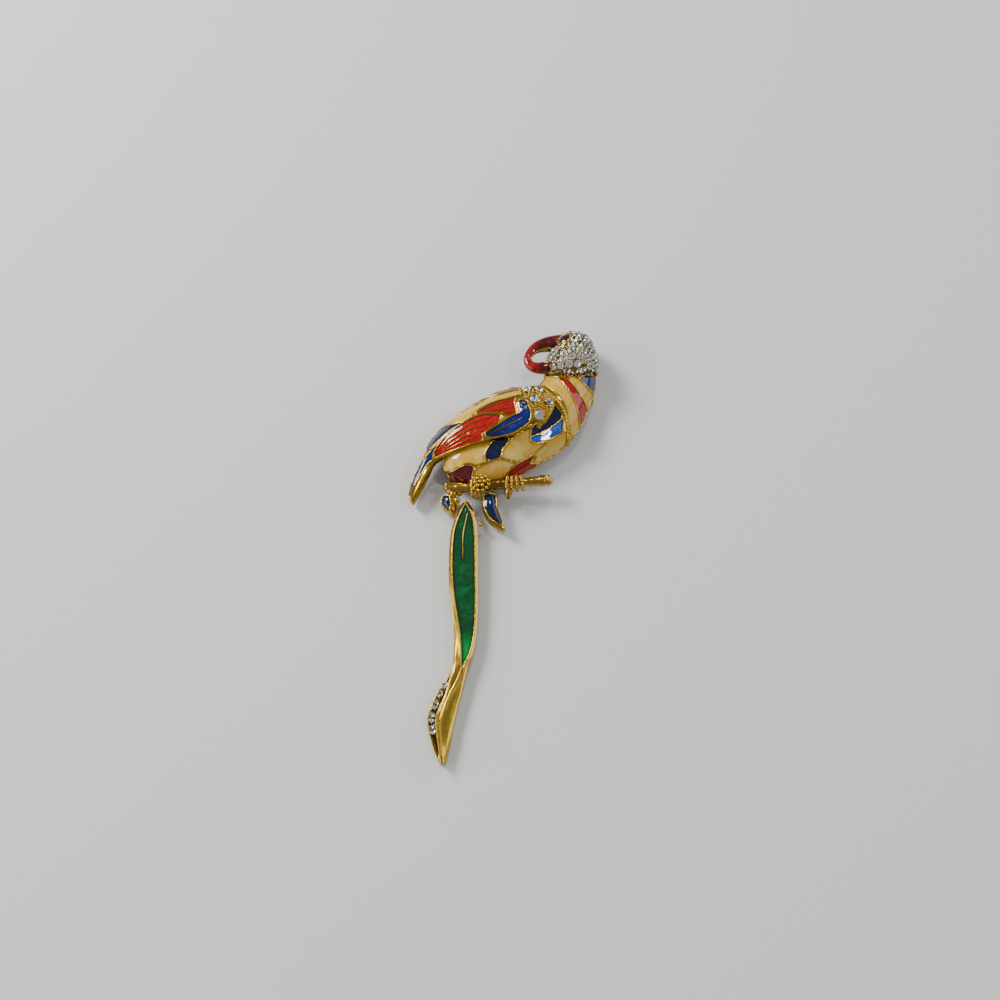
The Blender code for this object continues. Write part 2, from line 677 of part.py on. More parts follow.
def smooth_path(points, steps):
    """Points on a smooth curve through these, with this many steps from each to the next."""
    columns = list(zip(*points))
    count = (len(points) - 1) * steps
    return [
        tuple(smooth_value(column, index / steps) for column in columns)
        for index in range(count + 1)
    ]


def tube(name, centres, radii, material, home):
    """A round bar through these centres, as a closed mesh."""
    curve = bpy.data.curves.new(name, "CURVE")
    curve.dimensions = "3D"
    curve.bevel_depth = 1.0
    curve.bevel_resolution = 2
    curve.use_fill_caps = True
    spline = curve.splines.new("POLY")
    spline.points.add(len(centres) - 1)
    for point, centre, radius in zip(spline.points, centres, radii):
        point.co = (*centre, 1.0)
        point.radius = radius
    guide = bpy.data.objects.new(name, curve)
    home.objects.link(guide)
    depsgraph = bpy.context.evaluated_depsgraph_get()
    mesh = bpy.data.meshes.new_from_object(guide.evaluated_get(depsgraph))
    bpy.data.objects.remove(guide)
    bpy.data.curves.remove(curve)
    bm = bmesh.new()
    bm.from_mesh(mesh)
    bpy.data.meshes.remove(mesh)
    bmesh.ops.remove_doubles(bm, verts=bm.verts, dist=1e-6)
    return add_object(name, bm, material, home)


def hide_cutter(cutter):
    cutter.hide_render = True
    cutter.display_type = "WIRE"
    return cutter


def turned_to(bm, centre, axis):
    """Move everything in bm so that its own Z axis runs along this axis through the centre."""
    turn = Vector((0.0, 0.0, 1.0)).rotation_difference(axis).to_matrix()
    for vertex in bm.verts:
        vertex.co = centre + turn @ vertex.co
    return bm


def cut_stone(radius):
    """A round cut stone: a table, eight crown facets, a girdle and eight pavilion facets."""
    crown = radius * CROWN_SHARE
    pavilion = radius * PAVILION_SHARE
    bm = bmesh.new()
    bmesh.ops.create_cone(
        bm, cap_ends=True, segments=STONE_SIDES, radius1=radius, radius2=radius * TABLE_SHARE,
        depth=crown,
    )
    bmesh.ops.translate(bm, verts=bm.verts, vec=(0.0, 0.0, crown / 2))
    base = min(bm.faces, key=lambda face: face.calc_center_median().z)
    girdle = bmesh.ops.extrude_face_region(bm, geom=[base])["geom"]
    lowered = [item for item in girdle if isinstance(item, bmesh.types.BMVert)]
    for vertex in lowered:
        vertex.co.x *= CULET_SHARE
        vertex.co.y *= CULET_SHARE
        vertex.co.z = -pavilion
    if base.is_valid:
        bmesh.ops.delete(bm, geom=[base], context="FACES_ONLY")
    return bm


def stone_crown(radius, sunk):
    """The part of a cut stone that shows above its setting, with a root sunk into it."""
    height = radius * CROWN_SHARE
    bm = bmesh.new()
    bmesh.ops.create_cone(
        bm, cap_ends=True, segments=STONE_SIDES, radius1=radius, radius2=radius * TABLE_SHARE,
        depth=height + sunk,
    )
    bmesh.ops.translate(bm, verts=bm.verts, vec=(0.0, 0.0, (height - sunk) / 2))
    return bm


def set_stones(prefix, form, places, radius, home, seats):
    """Loose stones on a form, each in its own round seat."""
    for number, (row, side, share) in enumerate(places, start=1):
        size = radius * share
        axis = form.normal(row, side)
        centre = form.point(row, side) + axis * SEAT_GAP
        name = f"{prefix}_{number}"
        stone = turned_to(cut_stone(size), centre, axis)
        add_object(name, stone, finish(name, CLEAR, 0.03, 0.0), home)
        seat = bmesh.new()
        depth = size * PAVILION_SHARE + SEAT_GAP
        bmesh.ops.create_cone(
            seat, cap_ends=True, segments=2 * STONE_SIDES, radius1=size + SEAT_GAP,
            radius2=size + SEAT_GAP, depth=depth + SEAT_GAP + CUT_MARGIN,
        )
        middle = (CUT_MARGIN + SEAT_GAP - depth) / 2 - SEAT_GAP / 2
        bmesh.ops.translate(seat, verts=seat.verts, vec=(0.0, 0.0, middle))
        add_cutter(f"seat of {name}", turned_to(seat, centre, axis), seats)


def stone_rings(form, first_row, last_row, edge_side):
    """Rows and sides of stones that cover a dome at an even pitch, each ring offset by half."""
    ring_pitch = HEAD_STONE_PITCH * math.sin(math.pi / 3)
    crest = [form.point(first_row + (last_row - first_row) * step / 60, 0.0) for step in range(61)]
    travelled = 0.0
    rows = [first_row]
    for step in range(60):
        travelled += (crest[step + 1] - crest[step]).length
        if travelled >= ring_pitch * len(rows):
            rows.append(first_row + (last_row - first_row) * (step + 1) / 60)
    places = []
    for index, row in enumerate(rows):
        arc = [form.point(row, -edge_side + 2 * edge_side * step / 60) for step in range(61)]
        lengths = [0.0]
        for step in range(60):
            lengths.append(lengths[-1] + (arc[step + 1] - arc[step]).length)
        count = int(lengths[-1] / HEAD_STONE_PITCH) + 1
        count -= (count + index) % 2
        start = (lengths[-1] - (count - 1) * HEAD_STONE_PITCH) / 2
        for number in range(count):
            wanted = start + number * HEAD_STONE_PITCH
            step = min(range(61), key=lambda item: abs(lengths[item] - wanted))
            places.append((row, -edge_side + 2 * edge_side * step / 60))
    return places


GRID_ROWS = 18
GRID_SIDES = 10
HEAD_ROWS = 12
TAIL_ROWS = 24
ROW_STEP = 1.0
SIDE_STEP = 0.25


def build_forms():
    """The curved surfaces that the pieces are bent over, with the sizes they follow."""
    torso_plan = Plan(-18.5 * MM, -11.7 * MM, TORSO_HEADING, TORSO_LENGTH, TORSO_WIDTH)
    neck = torso_plan.at(0.838, 0.011)
    head_plan = Plan(neck.x, neck.y, math.radians(90), HEAD_LENGTH, HEAD_WIDTH)
    below = torso_plan.at(0.0173, -0.4337)
    tail_plan = Plan(below.x, below.y, TAIL_HEADING, TAIL_LENGTH, TAIL_WIDTH)
    left_root = torso_plan.at(-0.040, -0.270)
    left_plan = Plan(left_root.x, left_root.y, math.radians(-80), 4.8 * MM, 3.6 * MM)
    right_root = torso_plan.at(0.126, -0.572)
    right_plan = Plan(right_root.x, right_root.y, math.radians(-79), 9.4 * MM, 3.6 * MM)
    return {
        "torso": Form(torso_plan, TORSO_SECTIONS, RIM_HEIGHT, TORSO_RISE),
        "wing": Form(torso_plan, WING_SECTIONS, RIM_HEIGHT, TORSO_RISE + WING_STANDOFF, 30, 20),
        "head": Form(head_plan, HEAD_SECTIONS, HEAD_RIM_HEIGHT, HEAD_RISE),
        "tail": Form(tail_plan, TAIL_SECTIONS, 0.0, TAIL_RISE, 35, 35),
        "shoulder": Form(torso_plan, SHOULDER_SECTIONS, RIM_HEIGHT, SHOULDER_RISE, 25, 25),
        "left leaf": Form(left_plan, LEFT_LEAF_SECTIONS, LEAF_FOOT, LEAF_RISE, 30, 30),
        "right leaf": Form(right_plan, RIGHT_LEAF_SECTIONS, LEAF_FOOT, LEAF_RISE, 30, 30),
    }


def build_body(forms, home, cutting):
    torso = forms["torso"]
    recesses = collection("recesses of the body", cutting)
    casting = add_object(
        "body_casting", hollow_dome(torso, GRID_ROWS, GRID_SIDES, TORSO_WALL),
        metal("body gold"), home,
    )
    for name, (colour, outline) in TORSO_CELLS.items():
        inlay_and_recess(name, torso, outline, colour, home, recesses)
    boolean(casting, "DIFFERENCE", recesses)
    path = smooth_path(RIDGE_PATH, 2)
    centres = [torso.above(row, side, 0.1 * MM) for row, side in path]
    ridge = hide_cutter(tube("ridge", centres, [RIDGE_RADIUS] * len(path), None, cutting))
    boolean(casting, "UNION", ridge)
    grown = [RIDGE_RADIUS + FIT_GAP] * len(path)
    return hide_cutter(tube("space of the ridge", centres, grown, None, cutting))


def build_wing(forms, home, cutting, body_space):
    wing = forms["wing"]
    recesses = collection("recesses of the wing", cutting)

    def underside(row, side):
        return wing.point(row, side) - Vector((0.0, 0.0, WING_WALL))

    plate = slab(
        flat_grid(GRID_ROWS, GRID_SIDES, WING_ROOT_ROW, wing.last_row), underside, wing.point
    )
    casting = add_object("wing_casting", plate, metal("wing gold"), home)
    for name, (colour, outline) in WING_CELLS.items():
        inlay_and_recess(name, wing, outline, colour, home, recesses)
    around_setting = add_cutter(
        "space of the shoulder setting",
        column_around(forms["shoulder"], FIT_GAP, RIM_HEIGHT, RIM_HEIGHT + 2 * SHOULDER_RISE),
        cutting,
    )
    keep_out(recesses, body_space, around_setting)
    boolean(casting, "DIFFERENCE", recesses)


def build_head(forms, home, cutting, body_space):
    head = forms["head"]
    recesses = collection("recesses of the head", cutting)
    dome = add_object(
        "head_pave", hollow_dome(head, HEAD_ROWS, GRID_SIDES, HEAD_WALL), metal("head gold"), home
    )
    inlay_and_recess("eye", head, EYE_OUTLINE, EYE_RED, home, recesses, wall=0.0)
    stones = bmesh.new()
    path = smooth_path(BEAK_PATH, 2)
    beak_line = [head.plan.at(along, across, BEAK_HEIGHT) for along, across, _ in path]
    beak_radii = [BEAK_RADIUS * share for _, _, share in path]
    eye_centre = head.point(4.4, 0.28)
    centres = []
    for row, side in stone_rings(head, 1.35, 5.9, 0.80):
        centre = head.point(row, side)
        crowded = any((centre - other).length < 2.05 * HEAD_STONE_RADIUS for other in centres)
        in_eye = (centre - eye_centre).length < 2.6 * MM
        at_beak = any(
            (centre - middle).length < radius + HEAD_STONE_RADIUS + FIT_GAP
            for middle, radius in zip(beak_line, beak_radii)
        )
        if crowded or in_eye or at_beak:
            continue
        centres.append(centre)
        crown = turned_to(stone_crown(HEAD_STONE_RADIUS, 0.3 * MM), centre, head.normal(row, side))
        mesh = bpy.data.meshes.new("crown")
        crown.to_mesh(mesh)
        crown.free()
        stones.from_mesh(mesh)
        bpy.data.meshes.remove(mesh)
    boolean(dome, "UNION", add_cutter("stones of the head", stones, cutting))
    keep_out(recesses, body_space)
    boolean(dome, "DIFFERENCE", recesses)

    head_space = add_cutter(
        "space of the head", filled_below(head, HEAD_ROWS, GRID_SIDES, FIT_GAP, -CUT_MARGIN), cutting
    )
    beak = tube("beak", beak_line, beak_radii, glaze("beak red", RED), home)
    boolean(beak, "DIFFERENCE", head_space)


def build_shoulder(forms, home, cutting, body_space, ridge_space):
    shoulder = forms["shoulder"]
    seats = collection("seats of the shoulder", cutting)

    def underside(row, side):
        return shoulder.point(row, side) - Vector((0.0, 0.0, SHOULDER_DEPTH))

    boss = slab(flat_grid(10, 6, 0.0, shoulder.last_row), underside, shoulder.point)
    setting = add_object("shoulder_setting", boss, metal("shoulder gold"), home)
    set_stones("shoulder_stone", shoulder, SHOULDER_STONES, SHOULDER_STONE_RADIUS, home, seats)
    keep_out(seats, body_space, ridge_space)
    boolean(setting, "DIFFERENCE", seats)


def claw_toes(plan, place, height):
    """Centre lines of one claw's toes, from its shin over the branch and down its front."""
    along, across = place
    centre = plan.at(along, across, height)
    lines = []
    for spread in (-1.0, 0.0, 1.0):
        top = centre + Vector((0.5 * MM * spread, 2.2 * MM, 1.4 * MM))
        over = centre + Vector((1.3 * MM * spread, -1.0 * MM, 1.55 * MM))
        front = centre + Vector((1.5 * MM * spread, -2.1 * MM, 0.7 * MM))
        low = centre + Vector((1.5 * MM * spread, -2.5 * MM, -0.5 * MM))
        lines.append((top, over, front, low))
    return lines


def branch_lines(plan):
    """The branch and its stub, as lists of centres and radii."""
    lines = []
    for path in (BRANCH_PATH, STUB_PATH):
        points = smooth_path(path, 2)
        centres = [plan.at(along, across, BRANCH_HEIGHT) for along, across, _ in points]
        lines.append((centres, [BRANCH_RADIUS * share for _, _, share in points]))
    return lines


def build_perch(forms, home, cutting, body_space):
    plan = forms["torso"].plan
    claws = collection("claws", cutting)
    (branch, branch_radii), (stub, stub_radii) = branch_lines(plan)
    perch = tube("perch", branch, branch_radii, metal("perch gold"), home)
    hide_cutter(tube("stub", stub, stub_radii, None, claws))
    for side, place in (("left", LEFT_CLAW), ("right", RIGHT_CLAW)):
        for number, line in enumerate(claw_toes(plan, place, BRANCH_HEIGHT), start=1):
            radii = [TOE_RADIUS * share for share in (1.1, 1.1, 1.0, 0.8)]
            hide_cutter(tube(f"{side} toe {number}", line, radii, None, claws))
    boolean(perch, "UNION", claws)
    boolean(perch, "DIFFERENCE", body_space)


def perch_spaces(plan, cutting):
    """The branch and toes grown by the clearance, which the pieces below them keep out of."""
    (branch, radii), _ = branch_lines(plan)
    grown = [radius + FIT_GAP for radius in radii]
    spaces = [hide_cutter(tube("space of the branch", branch, grown, None, cutting))]
    for side, place in (("left", LEFT_CLAW), ("right", RIGHT_CLAW)):
        for number, line in enumerate(claw_toes(plan, place, BRANCH_HEIGHT), start=1):
            radii = [TOE_RADIUS * share + FIT_GAP for share in (1.1, 1.1, 1.0, 0.8)]
            toe = tube(f"space of {side} toe {number}", line, radii, None, cutting)
            spaces.append(hide_cutter(toe))
    return spaces


def build_tail(forms, home, cutting, spaces):
    tail = forms["tail"]
    recesses = collection("recesses of the tail", cutting)

    def underside(row, side):
        place = tail.point(row, side)
        place.z = TAIL_TOP_FOOT * max(1.0 - row / (0.75 * tail.last_row), 0.0)
        return place

    ribbon = slab(flat_grid(TAIL_ROWS, 6, 0.0, tail.last_row), underside, tail.point)
    casting = add_object("tail_casting", ribbon, metal("tail gold"), home)
    inlay_and_recess(
        "enamel_tail_green", tail, TAIL_OUTLINE, GREEN, home, recesses, wall=0.0,
        dip=TAIL_INLAY_DIP,
    )
    set_stones("tail_stone", tail, TAIL_STONES, TAIL_STONE_RADIUS, home, recesses)
    keep_out(recesses, *spaces)
    boolean(casting, "DIFFERENCE", recesses)


def build_leaf(name, form, outline, home, cutting, spaces):
    recesses = collection(f"recesses of {name}", cutting)

    def underside(row, side):
        place = form.point(row, side)
        place.z = LEAF_FOOT
        return place

    leaf = slab(flat_grid(2 * form.last_row, 6, 0.0, form.last_row), underside, form.point)
    casting = add_object(f"{name}_setting", leaf, metal(f"{name} gold"), home)
    inlay_and_recess(f"enamel_{name}", form, outline, NAVY, home, recesses, wall=0.0)
    keep_out(recesses, *spaces)
    boolean(casting, "DIFFERENCE", recesses)


def build_pin(forms, home):
    """The bar of the pin with its hinge block and catch, under the rim of the body."""
    plan = forms["torso"].plan
    top = RIM_HEIGHT - FIT_GAP
    hinge = plan.at(0.886, -0.206, top / 2)
    catch = plan.at(0.112, 0.150, top / 2)
    material = finish("pin metal", STEEL, 0.3, 1.0)
    bar = tube("pin_back", [hinge, catch], [PIN_RADIUS, PIN_RADIUS], material, home)
    blocks = []
    for name, centre in (("hinge block", hinge), ("catch block", catch)):
        bm = bmesh.new()
        bmesh.ops.create_cube(bm, size=1.0)
        for vertex in bm.verts:
            vertex.co = centre + Vector(
                (vertex.co.x * PIN_BLOCK, vertex.co.y * PIN_BLOCK, vertex.co.z * top)
            )
        blocks.append((name, bm))
    return bar, blocks


def box_of(objects):
    """The lowest and highest corner of these objects with their modifiers applied."""
    depsgraph = bpy.context.evaluated_depsgraph_get()
    corners = []
    for item in objects:
        shown = item.evaluated_get(depsgraph)
        corners += [shown.matrix_world @ vertex.co for vertex in shown.data.vertices]
    low = Vector(min(corner[axis] for corner in corners) for axis in range(3))
    high = Vector(max(corner[axis] for corner in corners) for axis in range(3))
    return low, high


def main():
    clear_scene()
    scene_root = bpy.context.scene.collection
    home = collection("Parrot brooch", scene_root)
    cutting = collection("Cutters", scene_root)
    forms = build_forms()
    torso = forms["torso"]
    body_space = add_cutter(
        "space of the body",
        filled_below(torso, GRID_ROWS, GRID_SIDES, FIT_GAP, -CUT_MARGIN),
        cutting,
    )
    ridge_space = build_body(forms, home, cutting)
    build_wing(forms, home, cutting, body_space)
    build_head(forms, home, cutting, body_space)
    build_shoulder(forms, home, cutting, body_space, ridge_space)
    build_perch(forms, home, cutting, body_space)
    spaces = [body_space, *perch_spaces(torso.plan, cutting)]
    build_tail(forms, home, cutting, spaces)
    tail_space = add_cutter(
        "space of the tail",
        filled_below(forms["tail"], TAIL_ROWS, 6, FIT_GAP, -CUT_MARGIN),
        cutting,
    )
    spaces.append(tail_space)
    build_leaf("leaf_left", forms["left leaf"], LEFT_LEAF_OUTLINE, home, cutting, spaces)
    build_leaf("leaf_right", forms["right leaf"], RIGHT_LEAF_OUTLINE, home, cutting, spaces)
    bar, blocks = build_pin(forms, home)
    for name, bm in blocks:
        boolean(bar, "UNION", add_cutter(name, bm, cutting))

    low, high = box_of(home.objects)
    origin = bpy.data.objects.new("brooch origin", None)
    home.objects.link(origin)
    for item in list(home.objects) + list(cutting.all_objects):
        if item is not origin:
            item.parent = origin
    origin.location = (-(low.x + high.x) / 2, -(low.y + high.y) / 2, -low.z)


main()
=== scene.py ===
"""The looks of a parrot brooch: polished gold-tone casting, glossy enamel and cut stones.

Each form is laid over the sections that the solids follow, so the fine skins lie where the
castings are. Places on a form are a row, counted along it, and a side from -1 at its front
edge to 1 at its back edge. Lengths are metres unless a name says otherwise.
"""

import logging
import math
from dataclasses import dataclass
from enum import Enum
from functools import partial
from typing import Callable, Sequence

import bpy
import numpy as np
from mathutils import Matrix, Vector


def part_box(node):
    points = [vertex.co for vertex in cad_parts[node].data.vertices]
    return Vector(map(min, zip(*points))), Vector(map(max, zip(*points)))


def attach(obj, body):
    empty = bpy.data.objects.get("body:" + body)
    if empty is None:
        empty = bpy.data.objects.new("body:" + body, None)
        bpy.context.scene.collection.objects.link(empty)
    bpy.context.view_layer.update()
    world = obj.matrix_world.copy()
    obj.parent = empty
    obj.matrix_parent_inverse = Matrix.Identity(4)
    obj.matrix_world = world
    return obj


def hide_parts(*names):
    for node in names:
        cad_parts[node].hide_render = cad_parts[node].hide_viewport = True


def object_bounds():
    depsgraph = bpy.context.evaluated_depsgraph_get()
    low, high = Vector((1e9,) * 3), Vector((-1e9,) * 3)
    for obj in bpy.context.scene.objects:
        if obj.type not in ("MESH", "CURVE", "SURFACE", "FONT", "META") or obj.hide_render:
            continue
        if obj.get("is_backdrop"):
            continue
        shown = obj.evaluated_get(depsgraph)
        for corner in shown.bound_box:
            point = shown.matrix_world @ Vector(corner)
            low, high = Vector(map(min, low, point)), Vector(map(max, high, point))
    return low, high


MM = 0.001
FAR = 9.0
LOG = logging.getLogger("brooch")

Place = tuple[float, float]
Outline = tuple[Place, ...]
Triple = tuple[float, float, float]
Colour = tuple[float, float, float, float]
Piece = bpy.types.Object
Tree = bpy.types.NodeTree
Socket = bpy.types.NodeSocket

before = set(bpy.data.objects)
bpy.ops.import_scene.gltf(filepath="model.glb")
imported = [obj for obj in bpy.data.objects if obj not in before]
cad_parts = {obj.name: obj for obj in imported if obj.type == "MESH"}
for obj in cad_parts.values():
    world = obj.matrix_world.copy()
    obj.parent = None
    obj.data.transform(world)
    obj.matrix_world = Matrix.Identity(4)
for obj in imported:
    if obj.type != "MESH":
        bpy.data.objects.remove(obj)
CAD_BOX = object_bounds()


def linear(code: str) -> Colour:
    """Turn an sRGB hex colour into linear values.

    Args:
        code: The colour as #RRGGBB.

    Returns:
        Linear red, green, blue and an alpha of one.
    """
    parts = [int(code[place : place + 2], 16) / 255 for place in (1, 3, 5)]
    red, green, blue = (
        part / 12.92 if part <= 0.04045 else ((part + 0.055) / 1.055) ** 2.4 for part in parts
    )
    return red, green, blue, 1.0


def add_node(
    tree: Tree, kind: str, settings: dict | None = None, inputs: dict | None = None
) -> bpy.types.Node:
    """Add a node with its settings, its values and the links into it.

    Args:
        tree: The node tree.
        kind: The node's type name.
        settings: Values of the node's own properties.
        inputs: For each input, a value or the output socket that feeds it.

    Returns:
        The new node.
    """
    node = tree.nodes.new(kind)
    for name, value in (settings or {}).items():
        setattr(node, name, value)
    for name, value in (inputs or {}).items():
        if isinstance(value, Socket):
            tree.links.new(value, node.inputs[name])
        else:
            node.inputs[name].default_value = value
    return node


class Pattern(Enum):
    """The patterns that a material may carry."""

    NOISE = "ShaderNodeTexNoise"
    CELLS = "ShaderNodeTexVoronoi"


def pattern(tree: Tree, kind: Pattern, size_mm: float, more: dict | None = None) -> bpy.types.Node:
    """Lay a pattern of a real size over a piece's own coordinates.

    Args:
        tree: The node tree.
        kind: The pattern.
        size_mm: The size of its patches.
        more: Values of its other inputs.

    Returns:
        The pattern's node.
    """
    place = add_node(tree, "ShaderNodeTexCoord")
    inputs = {"Vector": place.outputs["Object"], "Scale": 1 / (size_mm * MM)}
    return add_node(tree, kind.value, None, inputs | (more or {}))


def ramp(
    tree: Tree, value: Socket, span: Place, result: Place,
    smooth: bool = False,
) -> Socket:
    """Turn one span of values into another.

    Args:
        tree: The node tree.
        value: The value.
        span: The values at which the result starts and ends.
        result: Where it starts and ends.
        smooth: Whether its ends are eased.

    Returns:
        The result.
    """
    node = add_node(
        tree, "ShaderNodeMapRange", {"interpolation_type": "SMOOTHSTEP" if smooth else "LINEAR"},
        {"Value": value, "From Min": span[0], "From Max": span[1],
         "To Min": result[0], "To Max": result[1]},
    )
    return node.outputs["Result"]


def blend(
    tree: Tree, share: Socket, first: Colour | Socket,
    second: Colour,
) -> Socket:
    """Mix two colours.

    Args:
        tree: The node tree.
        share: The second colour's share.
        first: The first colour.
        second: The second colour.

    Returns:
        The mixed colour.
    """
    node = add_node(
        tree, "ShaderNodeMix", {"data_type": "RGBA"}, {"Factor": share, "A": first, "B": second}
    )
    return node.outputs["Result"]


def bump(tree: Tree, height: Socket, strength: float, depth_mm: float) -> Socket:
    """Tilt the light on a surface as if a pattern stood out of it.

    Args:
        tree: The node tree.
        height: The pattern.
        strength: How strongly it shows.
        depth_mm: How far it stands out.

    Returns:
        The tilted normal.
    """
    inputs = {"Height": height, "Strength": strength, "Distance": depth_mm * MM}
    return add_node(tree, "ShaderNodeBump", None, inputs).outputs["Normal"]


def stored(tree: Tree, name: str) -> Socket:
    """The number that each vertex of a piece stores under this name."""
    return add_node(tree, "ShaderNodeAttribute", {"attribute_name": name}).outputs["Fac"]


def new_material(name: str) -> tuple[bpy.types.Material, Tree]:
    """Start a material without any nodes.

    Args:
        name: The real material's name.

    Returns:
        The material and its tree.
    """
    material = bpy.data.materials.new(name)
    material.use_nodes = True
    material.node_tree.nodes.clear()
    return material, material.node_tree


def surface(tree: Tree, inputs: dict) -> None:
    """Add a shader with these inputs and show it on the material's surface."""
    shader = add_node(tree, "ShaderNodeBsdfPrincipled", None, inputs)
    add_node(tree, "ShaderNodeOutputMaterial", None, {"Surface": shader.outputs["BSDF"]})


@dataclass(frozen=True)
class GoldPlate:
    """Gold plating on a polished casting: bright on its edges, with painted brown shade in its
    hollows.

    The real grain of the casting is too fine to show at the size of the photo, so it is drawn
    coarser.
    """

    name: str
    bright: str
    # The colour of the painted shade, blended in where a piece stores a high hollow value.
    hollow: str
    roughness: float
    wear_mm: float = 1.6
    grain_mm: float = 0.22
    smoothest: float = 0.8
    roughest: float = 1.35

    def material(self) -> bpy.types.Material:
        """Build the material: patchy shine over a faint cast grain.

        Returns:
            The material.
        """
        material, tree = new_material(self.name)
        wear = pattern(tree, Pattern.NOISE, self.wear_mm, {"Detail": 4.0})
        between = (self.roughness * self.smoothest, self.roughness * self.roughest)
        grain = pattern(tree, Pattern.NOISE, self.grain_mm, {"Detail": 2.0})
        surface(tree, {
            # Painted shade: the stored hollow value darkens the gold towards the hollow colour.
            "Base Color": blend(
                tree, stored(tree, "hollow"), linear(self.bright), linear(self.hollow)
            ),
            "Metallic": 1.0,
            "Roughness": ramp(tree, wear.outputs["Fac"], (0.35, 0.7), between),
            "Normal": bump(tree, grain.outputs["Fac"], 0.12, 0.05),
        })
        return material


@dataclass(frozen=True)
class Enamel:
    """Fired enamel: a hard clear gloss over an opaque or a see-through colour.

    A see-through colour lies on engraved metal, so its ground keeps some metal shine and an
    engraved grain, while the gloss above it stays smooth. The colour pools darker at the walls
    of its cell. The real engraving is too fine to show at the size of the photo, so it is drawn
    coarser.
    """

    name: str
    body: str
    wall: str
    root: str
    fleck: str
    fleck_share: float
    fleck_mm: float
    metal: float = 0.0
    ground_roughness: float = 0.45
    grain_mm: float = 0.5
    grain_depth: float = 0.25
    cloud_mm: float = 3.0
    wall_reach_mm: float = 0.7
    root_from: float = 0.75
    root_to: float = 1.0
    coat_roughness: float = 0.05
    pooling: float = 1.7
    swell_mm: float = 1.8
    ior: float = 1.52

    def colour(self, tree: Tree) -> Socket:
        """Work out the colour: darker at the walls, changed towards the root, and flecked with
        lighter patches that are partly painted highlights.

        Args:
            tree: The node tree.

        Returns:
            The colour.
        """
        cloud = pattern(tree, Pattern.NOISE, self.cloud_mm, {"Detail": 3.0})
        pooled = ramp(tree, stored(tree, "from_wall"), (0.0, self.wall_reach_mm), (1.0, 0.0), True)
        patchy = add_node(
            tree, "ShaderNodeMath", {"operation": "MULTIPLY"}, {0: pooled, 1: cloud.outputs["Fac"]}
        )
        pool = add_node(
            tree, "ShaderNodeMath", {"operation": "MULTIPLY", "use_clamp": True},
            {0: patchy.outputs["Value"], 1: self.pooling},
        )
        rooted = ramp(tree, stored(tree, "along"), (self.root_from, self.root_to), (0.0, 1.0), True)
        toned = blend(tree, rooted, linear(self.body), linear(self.root))
        # The lighter flecks lie at random: partly the enamel's own mottled tone, partly painted
        # highlights.
        drift = pattern(
            tree, Pattern.NOISE, self.fleck_mm,
            {"Detail": 5.0, "Roughness": 0.62, "Distortion": 0.8},
        )
        flecks = ramp(tree, drift.outputs["Fac"], (0.46, 0.72), (0.0, self.fleck_share), True)
        flecked = blend(tree, flecks, toned, linear(self.fleck))
        return blend(tree, pool.outputs["Value"], flecked, linear(self.wall))

    def material(self) -> bpy.types.Material:
        """Build the material: ground colour and grain below, clear gloss on top.

        Returns:
            The material.
        """
        material, tree = new_material(self.name)
        grain = pattern(tree, Pattern.CELLS, self.grain_mm)
        swell = pattern(tree, Pattern.NOISE, self.swell_mm, {"Detail": 1.0})
        surface(tree, {
            "Base Color": self.colour(tree), "Metallic": self.metal,
            "Roughness": self.ground_roughness, "IOR": self.ior, "Specular IOR Level": 0.0,
            "Normal": bump(tree, grain.outputs["Distance"], self.grain_depth, 0.2),
            "Coat Weight": 1.0, "Coat IOR": self.ior, "Coat Roughness": self.coat_roughness,
            "Coat Normal": bump(tree, swell.outputs["Fac"], 0.25, 0.12),
        })
        return material


@dataclass(frozen=True)
class CutGlass:
    """Lead glass, cut and polished: clear, with sharp flat facets."""

    name: str = "Cut crystal glass"
    tint: str = "#FBFBF6"
    ior: float = 1.56
    haze_mm: float = 2.2

    def material(self) -> bpy.types.Material:
        """Build the material: glass that is barely smoky, with a faint polishing haze.

        Returns:
            The material.
        """
        material, tree = new_material(self.name)
        haze = pattern(tree, Pattern.NOISE, self.haze_mm)
        surface(tree, {
            "Base Color": linear(self.tint), "IOR": self.ior, "Transmission Weight": 1.0,
            "Roughness": ramp(tree, haze.outputs["Fac"], (0.0, 1.0), (0.0, 0.05)),
        })
        return material


@dataclass(frozen=True)
class Foil:
    """Silver foil fired on the back of a stone: it throws the light back through the cut."""

    name: str = "Silver foil backing"
    shade: str = "#F4F4EE"
    crinkle_mm: float = 0.9

    def material(self) -> bpy.types.Material:
        """Build the material: a bright mirror with slight crinkles.

        Returns:
            The material.
        """
        material, tree = new_material(self.name)
        crinkle = pattern(tree, Pattern.NOISE, self.crinkle_mm)
        surface(tree, {
            "Base Color": linear(self.shade), "Metallic": 1.0,
            "Roughness": ramp(tree, crinkle.outputs["Fac"], (0.0, 1.0), (0.04, 0.18)),
        })
        return material


